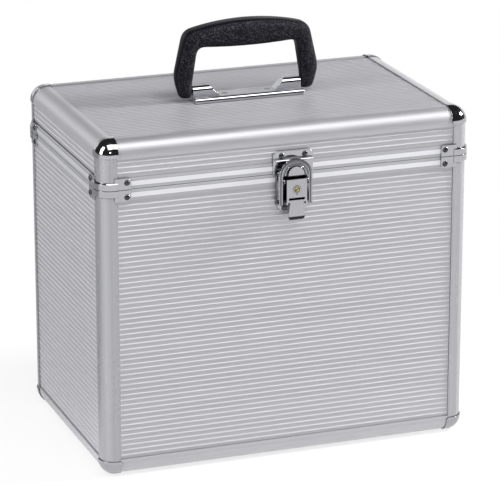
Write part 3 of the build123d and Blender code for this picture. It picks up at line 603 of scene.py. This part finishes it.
def profile_material(name, shade, along, raised=None, rough=0.42, banding=0.05, shine=1.6):
    """Satin anodised extrusion with die lines along its length.

    Raised is (axis, nodes) of raised bands that carry a painted highlight, and shine is how much lighter they
    are painted. Banding is how strongly the die lines show."""
    material, tree, shader, place = new_material(name, 0.72, rough)
    stretch = tuple(0.001 if each == along else 1.0 for each in range(3))
    lines = use_group(tree, "streaks", Vector=place, Stretch=stretch, Scale=1300.0)
    worn = use_group(tree, "wear", Vector=place, Radius=0.0005, Patchiness=0.6)
    hands = use_group(tree, "handling", Vector=place, Scale=18.0)
    # Ambient occlusion darkens the extrusion in gaps: painted shade.
    painted_gap_shade = use_group(tree, "crevice", Distance=0.004, Open=0.66, Closed=0.3)
    bands = remap(tree, lines["Broad"], 0.35, 0.65)
    tone = mix_colour(tree, bands, scaled(shade, 1.0 - 1.6 * banding), scaled(shade, 1.0 + banding))
    if raised:
        # The raised bands are painted lighter: a painted highlight.
        band_highlight = raised_mask(tree, place, *raised, 0.05 * MM, 0.2 * MM)
        tone = mix_colour(tree, band_highlight, tone, scaled(shade, shine))
    wear_and_highlight = mix_colour(tree, times(tree, worn["Mask"], 0.5), tone, scaled(shade, 1.28))
    marked = mix_colour(tree, times(tree, hands["Scratch"], 0.15), wear_and_highlight, scaled(shade, 0.7))
    gap_shaded = mix_colour(tree, times(tree, painted_gap_shade["Mask"], 0.85), marked, scaled(shade, 0.12))
    satin = remap(tree, lines["Fine"], 0.25, 0.75, rough - 0.02, rough + 0.02)
    coat(tree, shader, gap_shaded, plus(tree, satin, times(tree, hands["Smudge"], 0.05)))
    bump(tree, shader, lines["Fine"], 0.00001, 0.12)
    return material


def chrome_material(name, shade, rounding=0.0002, open_face=0.72, under=0.0, dulled=0.0):
    """Bright plating over pressed steel: a mirror with fingerprints, hairlines and painted shade in its gaps.

    Rounding softens the edges, open_face is the openness below which painted shade starts in gaps, under is
    how far faces that look down are painted dark as shade, and dulled is how far faces that look up have lost
    their shine."""
    material, tree, shader, place = new_material(name, 1.0, 0.07)
    hands = use_group(tree, "handling", Vector=place, Scale=60.0)
    worn = use_group(tree, "wear", Vector=place, Radius=rounding, Patchiness=0.5)
    # Ambient occlusion paints the plating near-black in gaps: painted shade.
    painted_gap_shade = use_group(tree, "crevice", Distance=0.005, Open=open_face, Closed=open_face - 0.40)
    ripple = noise(tree, place, 130, 2, 0.4)
    hazed = mix_colour(tree, times(tree, hands["Smudge"], 0.25), shade, scaled(shade, 0.86))
    marked = mix_colour(tree, times(tree, hands["Scratch"], 0.3), hazed, scaled(shade, 0.6))
    gap_shaded = mix_colour(tree, times(tree, painted_gap_shade["Mask"], 0.92), marked, PAINTED_SHADE)
    upward = facing(tree)[Z]
    # Faces that look down are painted near-black: painted shade.
    shaded = times(tree, remap(tree, upward, -0.02, -0.14), under)
    underside_shaded = mix_colour(tree, shaded, gap_shaded, PAINTED_SHADE)
    soft = times(tree, hands["Smudge"], 0.07)
    cut = times(tree, hands["Scratch"], 0.12)
    wear_and_highlight = times(tree, remap(tree, upward, 0.90, 0.99), dulled)
    haze = plus(tree, plus(tree, soft, cut), wear_and_highlight)
    coat(tree, shader, underside_shaded, plus(tree, haze, 0.055))
    bump(tree, shader, ripple, 0.0002, 0.25, worn["Normal"])
    return material


def steel_material(name, shade):
    """Bare turned steel, a little tarnished in patches."""
    material, tree, shader, place = new_material(name, 1.0, 0.3)
    hands = use_group(tree, "handling", Vector=place, Scale=150.0)
    worn = use_group(tree, "wear", Vector=place, Radius=0.0003, Patchiness=0.4)
    stained = mix_colour(tree, hands["Smudge"], shade, scaled(shade, 0.6))
    wear_and_highlight = mix_colour(tree, worn["Mask"], stained, scaled(shade, 1.6))
    coat(tree, shader, wear_and_highlight, remap(tree, noise(tree, place, 1800, 3), 0.3, 0.7, 0.05, 0.11))
    bump(tree, shader, noise(tree, place, 2500, 3), 0.00003, 0.5)
    return material


def brass_material(name, shade, plating, low, high):
    """Turned brass plug from low to high, with lathe rings, a dark groove ring and a plated collar."""
    material, tree, shader, place = new_material(name, 1.0, 0.2)
    centre = (low + high) / 2
    radius = (high.x - low.x) / 2
    rings = use_group(tree, "turned", Vector=place, Centre=centre, Rings=16000.0)
    hands = use_group(tree, "handling", Vector=place, Scale=220.0)
    # Ambient occlusion darkens the lock in its gaps and holes: painted shade.
    painted_gap_shade = use_group(tree, "crevice", Distance=0.002, Open=0.9, Closed=0.4)
    away = vector_node(tree, "MULTIPLY", vector_node(tree, "SUBTRACT", place, centre), (1, 0, 1))
    reach = vector_node(tree, "LENGTH", away)
    browned = mix_colour(tree, hands["Smudge"], shade, (0.30, 0.24, 0.10))
    plug = mix_colour(tree, remap(tree, reach, 0.20 * radius, 0.55 * radius), scaled(shade, 1.5), browned)
    groove = remap(tree, reach, 0.62 * radius, 0.72 * radius)
    ringed = mix_colour(tree, groove, plug, (0.10, 0.09, 0.04))
    collar = mix_colour(tree, remap(tree, reach, 0.76 * radius, 0.84 * radius), ringed, plating)
    gap_shaded = mix_colour(tree, painted_gap_shade["Mask"], collar, (0.01, 0.01, 0.01))
    coat(tree, shader, gap_shaded, remap(tree, noise(tree, place, 1600, 3), 0.3, 0.7, 0.14, 0.30))
    bump(tree, shader, rings["Height"], 0.00002, 0.6)
    return material


def grip_material(name, shade, speckle):
    """Moulded plastic: pebbled grain on the flanks, smooth and glossier round the rims."""
    material, tree, shader, place = new_material(name, 0.0, 0.4, IOR=1.2)
    flank = remap(tree, math_node(tree, "ABSOLUTE", facing(tree)[Y]), 0.35, 0.62)
    grain = use_group(tree, "pebble", Vector=place, Scale=1200.0)
    hands = use_group(tree, "handling", Vector=place, Scale=40.0)
    pebbled = mix_colour(tree, times(tree, grain["Speckle"], flank), shade, speckle)
    dusty = mix_colour(tree, times(tree, hands["Dust"], 0.3), pebbled, (0.30, 0.29, 0.28))
    rough = mix_value(tree, flank, 0.36, 0.50)
    coat(tree, shader, dusty, plus(tree, rough, times(tree, hands["Smudge"], 0.10)))
    bump(tree, shader, times(tree, grain["Height"], flank), 0.00035, 0.9)
    return material


def foam_material(name, shade):
    """Closed-cell foam with a brushed, slightly felted face."""
    material, tree, shader, place = new_material(
        name, 0.0, 0.9, Sheen_Weight=0.15, Sheen_Roughness=0.6, Specular_IOR_Level=0.25
    )
    cells = use_group(tree, "pebble", Vector=place, Scale=1400.0)
    hands = use_group(tree, "handling", Vector=place, Scale=9.0)
    felt = noise(tree, place, 2600, 4, 0.7)
    cloudy = remap(tree, noise(tree, place, 38, 5, 0.65), 0.32, 0.68)
    pile = times(tree, plus(tree, felt, cloudy), 0.5)
    mottled = mix_colour(tree, remap(tree, pile, 0.3, 0.75), scaled(shade, 0.6), scaled(shade, 1.6))
    lint = mix_colour(tree, times(tree, hands["Dust"], 0.35), mottled, (0.30, 0.30, 0.31))
    coat(tree, shader, lint, remap(tree, felt, 0.3, 0.7, 0.82, 0.98))
    bump(tree, shader, plus(tree, cells["Height"], times(tree, felt, 0.8)), 0.0003, 0.7)
    return material


_finishes = {}


def finishes():
    """The case's materials, made once from the settings."""
    if _finishes:
        return _finishes
    shades = bpy.context.scene.case_colours
    _groups.update(
        wear=edge_wear_group(),
        streaks=streaks_group(),
        handling=handling_group(),
        pebble=pebble_group(),
        crevice=crevice_group(),
        raised=raised_group(),
        turned=turned_group(),
    )
    _finishes.update(
        laminates(shades.laminate),
        **profiles(shades.profile),
        **platings(shades.chrome),
        steel=steel_material("Turned steel", shades.steel),
        brass=brass_material("Turned brass", shades.brass, shades.chrome, *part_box("lock_cylinder")),
        grip=grip_material("Grained grip plastic", shades.grip, shades.grip_speckle),
        foam=foam_material("Lining foam", shades.foam),
    )
    return _finishes


def laminates(shade):
    """The panels' materials, by the way the panels face. The sides are a lighter copy, painted light, and the
    top and bottom a darker copy, painted shade.
    """
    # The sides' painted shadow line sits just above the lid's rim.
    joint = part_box("lid_rim_left")[1].z + SHADOW_LINE_RISE
    ends, sides = ("body_front_panel", "body_rear_panel"), ("body_left_panel", "body_right_panel")
    flats = ("lid_top_panel", "body_bottom_panel")
    return {
        "laminate_front": laminate_material("Laminate front and rear", shade, X, Y, ends),
        "laminate_side": laminate_material("Laminate sides", scaled(shade, 1.12), Y, X, sides, joint=joint),
        "laminate_flat": laminate_material(
            "Laminate top and bottom", scaled(shade, 0.91), X, Z, flats, crest=1.0
        ),
    }


def profiles(shade):
    """The extrusions' materials, by the way the extrusions run. The rims carry bands with a painted
    highlight.
    Those along Y are lighter copies, painted light, and the uprights a darker copy, painted shade.
    """
    ends, sides = (Y, ("body_rim_front", "body_rim_rear")), (X, ("body_rim_left", "body_rim_right"))
    return {
        "profile_x": profile_material("Profile along X", shade, X),
        "profile_y": profile_material("Profile along Y", scaled(shade, 1.12), Y, rough=0.32),
        "profile_z": profile_material("Profile upright", scaled(shade, 0.82), Z, rough=0.24, banding=0.09),
        "rim_x": profile_material("Rim along X", shade, X, raised=ends),
        "rim_y": profile_material("Rim along Y", scaled(shade, 1.15), Y, raised=sides, shine=1.3),
    }


def platings(shade):
    """The plated hardware's materials: by how each kind of piece has worn, and by the painted light and shade
    each carries.
    """

    def plated(name, tone, **wear):
        return chrome_material(name, scaled(shade, tone), **wear)

    return {
        "chrome": plated("Bright plating", 1.0),
        # The latch's faces that look down are painted near-black as shade, and its gaps take heavy painted
        # shade.
        "latch": plated("Latch plating", 0.96, rounding=0.0006, open_face=0.93, under=0.95),
        # The bail's groove floor is a much darker copy: painted shade.
        "groove": plated("Groove plating with painted shade", 0.30, open_face=0.90, under=0.95),
        # Scuffed tops are roughened, and faces that look down are painted slightly darker as shade.
        "scuffed": plated("Scuffed plating", 0.96, open_face=0.80, under=0.10, dulled=0.3),
        "strike": plated("Strike plating", 1.0, rounding=0.0005, open_face=0.55, dulled=0.35),
        # A much lighter copy for the strike's lip: a painted highlight.
        "wear_and_highlight": plated("Strike lip with painted highlight", 1.85, open_face=0.4, dulled=0.1),
        # The handle plate is a lighter copy, painted light, and its faces that look down are painted dark as
        # shade.
        "plate": plated("Handle plate plating", 1.5, open_face=0.62, under=0.8, dulled=0.30),
    }


# --- operators ---


def finish_nodes(kind, sides, material):
    """Gives a finish to the CAD nodes of a kind, or to those of them that name one of some sides."""
    for node in frame["nodes"]:
        if kind in node and (not sides or any(side in node for side in sides)):
            finish_node(node, finishes()[material])


class CASE_OT_panels(Operator):
    """Give the ribbed panels their satin laminate, with drawn lines along the ribs"""

    bl_idname = "case.finish_panels"
    bl_label = "Finish Panels"

    def execute(self, context):
        finish_nodes("_panel", ("left", "right"), "laminate_side")
        finish_nodes("_panel", ("front", "rear"), "laminate_front")
        finish_nodes("_panel", ("top", "bottom"), "laminate_flat")
        return {"FINISHED"}


class CASE_OT_profiles(Operator):
    """Give the edge extrusions and rims their satin anodising"""

    bl_idname = "case.finish_profiles"
    bl_label = "Finish Profiles"

    def execute(self, context):
        finish_nodes("upright_extrusion", (), "profile_z")
        finish_nodes("edge_extrusion", ("front", "rear"), "profile_x")
        finish_nodes("edge_extrusion", ("left", "right"), "profile_y")
        finish_nodes("_rim_", ("front", "rear"), "rim_x")
        finish_nodes("_rim_", ("left", "right"), "rim_y")
        return {"FINISHED"}


def plated_copy(node, name, width, material="chrome", rolled=None):
    """A piece in a CAD node's shape, with rounded edges that catch the light.

    Rolled is (places, radius): edges between such places get the larger rounding of a pressed roll."""
    piece = merged_copy(node, name)
    if rolled:
        roll_edges(piece, *rolled)
    round_edges(piece, width)
    dress(piece, finishes()[material])
    stand_for(piece, body_of_node(node), node)
    return piece


class CASE_OT_corners(Operator):
    """Make the plated ball corners and the wrapped corner braces with their rivets"""

    bl_idname = "case.make_corners"
    bl_label = "Make Corner Hardware"

    def execute(self, context):
        sizes = context.scene.case_sizes
        low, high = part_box("body_front_panel")
        middle = Vector((0, 0, (low.z + high.z) / 2))

        def looks_inward(face):
            return looks(face, (middle - face.center).normalized(), 0.45)

        for level in ("top", "bottom"):
            plating = "chrome" if level == "top" else "scuffed"
            balls = plated_copy(level + "_corner_caps", level + "_ball_corners", sizes.cap_round, plating)
            # Faces that turn towards the case's middle take the dark steel: painted shade.
            repaint(balls, finishes()["steel"], looks_inward)
        for part in ("body", "lid"):
            plated_copy(part + "_corner_braces", part + "_wrapped_braces", sizes.plate_round)
            plated_copy(part + "_brace_rivets", part + "_brace_domes", sizes.rivet_round, "steel")
        return {"FINISHED"}


class CASE_OT_latch(Operator):
    """Make the plated latch with its brass lock"""

    bl_idname = "case.make_latch"
    bl_label = "Make Latch"

    def execute(self, context):
        sizes = context.scene.case_sizes
        for node in ("latch_base", "latch_lever"):
            plated_copy(node, node + "_plated", sizes.plate_round, "latch")
        self.grooved_bail(sizes)
        strike_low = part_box("latch_strike")[0]
        lip_height = strike_low.z + sizes.lip_rise
        lip_reach = strike_low.y + sizes.lip_roll + TOUCH / 2

        def on_lip(place):
            return close_to(place.y, strike_low.y) and close_to(place.z, lip_height, reach=0.5 * MM)

        def in_lip_highlight(face):
            return face.center.y < lip_reach and not looks(face, DOWN, 0.1)

        lip = (on_lip, sizes.lip_roll)
        strike = plated_copy("latch_strike", "latch_strike_plated", sizes.plate_round, "strike", rolled=lip)
        # The lip's front faces get the much lighter plating: a painted highlight.
        repaint(strike, finishes()["wear_and_highlight"], in_lip_highlight)
        for node in ("strike_rivets", "latch_base_rivets"):
            plated_copy(node, node + "_domed", sizes.rivet_round, "steel")
        plated_copy("lock_cylinder", "lock_face", sizes.rivet_round, "brass")
        for node in ("latch_pivot_pin", "latch_bail_pin", "lock_cam"):
            finish_node(node, finishes()["steel"])
        return {"FINISHED"}

    def grooved_bail(self, sizes):
        """The bail, with a shallow pressed groove along its front strip."""
        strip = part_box("latch_bail")[0].y + sizes.bail_boss_rise
        floor = strip + sizes.bail_groove

        def is_groove(face):
            return looks(face, FRONT, 0.9) and close_to(face.center.y, floor)

        bail = merged_copy("latch_bail", "latch_bail_plated")
        clear_choice(bail, "FACE")
        for face in bail.data.polygons:
            face.select = looks(face, FRONT, 0.99) and close_to(face.center.y, strip)
        set_mode("EDIT")
        bpy.ops.mesh.inset(thickness=sizes.bail_rim)
        bpy.ops.transform.translate(value=(0, sizes.bail_groove, 0))
        set_mode("OBJECT")
        round_edges(bail, sizes.plate_round)
        dress(bail, finishes()["latch"])
        # The groove's floor takes the dark plating: painted shade.
        repaint(bail, finishes()["groove"], is_groove)
        stand_for(bail, body_of_node("latch_bail"), "latch_bail")


class CASE_OT_hinges(Operator):
    """Make the two rear hinges with their rivets"""

    bl_idname = "case.make_hinges"
    bl_label = "Make Hinges"

    def execute(self, context):
        sizes = context.scene.case_sizes
        for part in ("body", "lid"):
            hinge = "hinge_" + part
            plated_copy(hinge + "_leaves", part + "_hinge_leaves_plated", sizes.plate_round)
            plated_copy(hinge + "_rivets", part + "_hinge_domes", sizes.rivet_round, "steel")
        finish_node("hinge_pins", finishes()["steel"])
        return {"FINISHED"}


class CASE_OT_handle(Operator):
    """Make the grained grip and its plated mounting plate"""

    bl_idname = "case.make_handle"
    bl_label = "Make Handle"

    def execute(self, context):
        sizes = context.scene.case_sizes
        plate_low, plate_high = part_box("handle_plate")
        top = plate_low.z + sizes.plate_rise

        def on_long_edge(place):
            from_edge = min(place.y - plate_low.y, plate_high.y - place.y)
            return close_to(place.z, top) and close_to(from_edge, 0)

        edges = (on_long_edge, sizes.plate_roll)
        plated_copy("handle_plate", "handle_plate_plated", sizes.plate_round, "plate", rolled=edges)
        plated_copy("handle_plate_rivets", "handle_plate_domes", sizes.rivet_round, "steel")
        finish_node("handle_pins", finishes()["steel"])
        grip = merged_copy("handle_grip", "grained_grip")
        self.soften(grip, sizes)
        dress(grip, finishes()["grip"])
        stand_for(grip, "handle", "handle_grip")
        return {"FINISHED"}

    def soften(self, grip, sizes):
        """Melts the grip's edges into the full rounds of a moulding."""
        modify(grip, "Even skin", "REMESH", mode="VOXEL", voxel_size=sizes.grip_skin)
        modify(grip, "Rounded moulding", "SMOOTH", factor=0.7, iterations=sizes.grip_melt)
        modify(grip, "Full section", "DISPLACE", strength=sizes.grip_swell, mid_level=0.0)
        bpy.ops.object.shade_smooth()


def foam_sheet(name, low, high, thin_axis, towards, sizes, seed):
    """A lining sheet that fills a box: a gently waving grid, given its thickness and soft edges."""
    waves = random.Random(seed)
    centre = (low + high) / 2
    first, second = [axis for axis in range(3) if axis != thin_axis]
    width, height, thickness = (high[axis] - low[axis] for axis in (first, second, thin_axis))
    margin = sizes.foam_margin
    deselect_all()
    bpy.ops.mesh.primitive_grid_add(
        x_subdivisions=max(2, int(width / sizes.foam_cell)),
        y_subdivisions=max(2, int(height / sizes.foam_cell)),
        size=1.0,
    )
    sheet = bpy.context.object
    sheet.name = name
    sheet.data.name = name
    phases = [(waves.uniform(15, 45), waves.uniform(15, 45), waves.uniform(0, 6.28)) for _ in range(4)]
    for point in sheet.data.vertices:
        across, upward = point.co.x * (width - 2 * margin), point.co.y * (height - 2 * margin)
        swell = sum(math.sin(a * across + b * upward + c) for a, b, c in phases) / len(phases)
        spot = centre.copy()
        spot[first] += across
        spot[second] += upward
        spot[thin_axis] += towards * swell * sizes.foam_wave
        point.co = spot
    select_only(sheet)
    set_mode("EDIT")
    bpy.ops.mesh.select_all(action="SELECT")
    bpy.ops.mesh.normals_make_consistent(inside=False)
    set_mode("OBJECT")
    modify(sheet, "Thickness", "SOLIDIFY", thickness=thickness - 2 * sizes.foam_wave, offset=0.0)
    soften_edges(sheet, "Soft edges", thickness * sizes.foam_soft, FOAM_ANGLE)
    bpy.ops.object.shade_smooth()
    return sheet


class CASE_OT_lining(Operator):
    """Line the body and the lid with soft foam sheets"""

    bl_idname = "case.make_lining"
    bl_label = "Make Lining"

    def execute(self, context):
        sizes = context.scene.case_sizes
        foam = finishes()["foam"]
        for node, body, name, towards in (
            ("body_lining_floor", "case_body", "floor_foam", 1),
            ("lid_lining", "lid", "lid_foam", -1),
        ):
            low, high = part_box(node)
            sheet = foam_sheet(name, low, high, Z, towards, sizes, sizes.foam_seed)
            dress(sheet, foam)
            stand_for(sheet, body, node)
        self.line_walls(sizes, foam)
        return {"FINISHED"}

    def line_walls(self, sizes, foam):
        """Four sheets round the inside of the body, the short ones between the long ones."""
        floor_low, floor_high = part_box("body_lining_floor")
        thickness = floor_high.z - floor_low.z
        low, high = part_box("body_lining_walls")
        sheets = []
        for side, axis, towards in (("front", Y, 1), ("rear", Y, -1), ("left", X, 1), ("right", X, -1)):
            start, end = low.copy(), high.copy()
            if towards > 0:
                end[axis] = start[axis] + thickness
            else:
                start[axis] = end[axis] - thickness
            if axis == X:
                start.y += thickness
                end.y -= thickness
            seed = sizes.foam_seed + len(sheets) + 1
            sheets.append(foam_sheet("wall_foam_" + side, start, end, axis, towards, sizes, seed))
        for sheet in sheets:
            dress(sheet, foam)
            stand_for(sheet, "case_body", "body_lining_walls")


class CASE_OT_stage(Operator):
    """Build the pale floor, the soft studio lights and the camera"""

    bl_idname = "case.build_stage"
    bl_label = "Build Stage"

    def execute(self, context):
        studio = context.scene.case_studio
        self.floor()
        self.room(studio)
        self.softbox("Low right softbox", studio.key_power, (1.15, -0.26, 0.84), (0, 0, 0.33), (0.22, 0.22))
        self.softbox("Left softbox", studio.side_power, (-1.70, -0.35, 1.15), (0, 0, 0.17), (0.55, 1.5))
        self.softbox("Overhead softbox", studio.top_power, (0.0, -0.85, 1.75), (0, 0, 0.2), (1.5, 1.1))
        self.softbox("Front lamp", studio.front_power, (-0.55, -2.2, 1.15), (0, 0, 0.2), (0.22, 0.22))
        self.camera(studio)
        context.scene.view_settings.view_transform = "Standard"
        return {"FINISHED"}

    def floor(self):
        """A white floor that keeps a pale contact shadow. Metal shows it white, but grey at the rear left."""
        deselect_all()
        bpy.ops.mesh.primitive_plane_add(size=30, location=(0, 0, 0))
        plane = bpy.context.object
        plane.name = "studio_floor"
        material = bpy.data.materials.new("Studio floor")
        material.use_nodes = True
        tree = material.node_tree
        shader = tree.nodes["Principled BSDF"]
        shader.inputs["Roughness"].default_value = 0.9
        shader.inputs["Specular IOR Level"].default_value = 0.1
        paper = noise(tree, object_place(tree), 40, 4)
        join(tree, mix_colour(tree, paper, (0.86,) * 3, (0.89,) * 3), shader.inputs["Base Color"])
        glow = tree.nodes.new("ShaderNodeEmission")
        away = vector_node(tree, "LENGTH", object_place(tree))
        spread = remap(tree, away, 0.15, 0.50, 0.78, 1.0)
        path = tree.nodes.new("ShaderNodeLightPath")
        spot = parts_of(tree, object_place(tree))
        left = remap(tree, spot[X], -0.10, -0.30)
        rear = remap(tree, spot[Y], -0.10, 0.10)
        dark_corner = times(tree, left, rear)
        reflection = mix_value(tree, dark_corner, 0.95, 0.42)
        mirrored = path.outputs["Is Glossy Ray"]
        join(tree, mix_value(tree, mirrored, 1.0, reflection), glow.inputs["Strength"])
        mixer = tree.nodes.new("ShaderNodeMixShader")
        seen = math_node(tree, "ADD", times(tree, seen_directly(tree, path), spread), mirrored, clamp=True)
        join(tree, seen, mixer.inputs[0])
        join(tree, shader.outputs[0], mixer.inputs[1])
        join(tree, glow.outputs[0], mixer.inputs[2])
        join(tree, mixer.outputs[0], tree.nodes["Material Output"].inputs["Surface"])
        plane.data.materials.append(material)

    def room(self, studio):
        """A world that is white to the camera and a dim, even light on what is matt.

        In metal it shows dark, with a white backdrop low behind the case."""
        world = bpy.data.worlds.new("Studio room")
        bpy.context.scene.world = world
        world.use_nodes = True
        tree = world.node_tree
        tree.nodes.clear()
        path = tree.nodes.new("ShaderNodeLightPath")
        direction = parts_of(tree, tree.nodes.new("ShaderNodeTexCoord").outputs["Generated"])
        rear = remap(tree, direction[Y], 0.10, 0.45)
        not_left = remap(tree, direction[X], -0.60, -0.46)
        low = remap(tree, direction[Z], 0.46, 0.28)
        backdrop = times(tree, times(tree, rear, not_left), low)
        metal = mix_value(tree, backdrop, 0.03, 1.0)
        indirect = mix_value(tree, path.outputs["Is Glossy Ray"], studio.room, metal)
        strength = mix_value(tree, seen_directly(tree, path), indirect, 1.0)
        back = tree.nodes.new("ShaderNodeBackground")
        back.inputs["Color"].default_value = (1, 1, 1, 1)
        join(tree, strength, back.inputs["Strength"])
        out = tree.nodes.new("ShaderNodeOutputWorld")
        join(tree, back.outputs[0], out.inputs["Surface"])

    def softbox(self, name, power, place, target, size):
        """A rectangular lamp that faces a target."""
        lamp = bpy.data.lights.new(name, "AREA")
        lamp.shape = "RECTANGLE"
        lamp.size, lamp.size_y = size
        lamp.energy = power
        holder = bpy.data.objects.new(name, lamp)
        bpy.context.scene.collection.objects.link(holder)
        holder.location = place
        holder.rotation_euler = (Vector(target) - Vector(place)).to_track_quat("-Z", "Y").to_euler()

    def camera(self, studio):
        """A long lens above the front left corner."""
        lens = bpy.data.cameras.new("Camera")
        lens.lens = studio.lens
        lens.sensor_width = 36
        holder = bpy.data.objects.new("Camera", lens)
        bpy.context.scene.collection.objects.link(holder)
        holder.location = studio.camera_place
        holder.rotation_euler = (math.pi / 2 - studio.camera_tilt, 0, -studio.camera_turn)
        bpy.context.scene.camera = holder


# --- panel and registration ---

STEPS = (
    CASE_OT_panels,
    CASE_OT_profiles,
    CASE_OT_corners,
    CASE_OT_latch,
    CASE_OT_hinges,
    CASE_OT_handle,
    CASE_OT_lining,
    CASE_OT_stage,
)


class CASE_PT_sidebar(Panel):
    """The case's settings, and its steps in their order"""

    bl_idname = "CASE_PT_sidebar"
    bl_label = "Record Carrying Case"
    bl_space_type = "VIEW_3D"
    bl_region_type = "UI"
    bl_category = "Case"

    def draw(self, context):
        for settings in (context.scene.case_colours, context.scene.case_sizes, context.scene.case_studio):
            box = self.layout.box()
            for title in settings.bl_rna.properties.keys():
                if title not in ("rna_type", "name"):
                    box.prop(settings, title)
        for step in STEPS:
            self.layout.operator(step.bl_idname)


CLASSES = (CaseColours, CaseSizes, StudioSettings, *STEPS, CASE_PT_sidebar)


def register():
    for each in CLASSES:
        bpy.utils.register_class(each)
    bpy.types.Scene.case_colours = PointerProperty(type=CaseColours)
    bpy.types.Scene.case_sizes = PointerProperty(type=CaseSizes)
    bpy.types.Scene.case_studio = PointerProperty(type=StudioSettings)


def unregister():
    del bpy.types.Scene.case_studio
    del bpy.types.Scene.case_sizes
    del bpy.types.Scene.case_colours
    for each in reversed(CLASSES):
        bpy.utils.unregister_class(each)


def main():
    """Runs every step in order."""
    register()
    bpy.ops.case.finish_panels()
    bpy.ops.case.finish_profiles()
    bpy.ops.case.make_corners()
    bpy.ops.case.make_latch()
    bpy.ops.case.make_hinges()
    bpy.ops.case.make_handle()
    bpy.ops.case.make_lining()
    bpy.ops.case.build_stage()


if __name__ == "__main__":
    main()
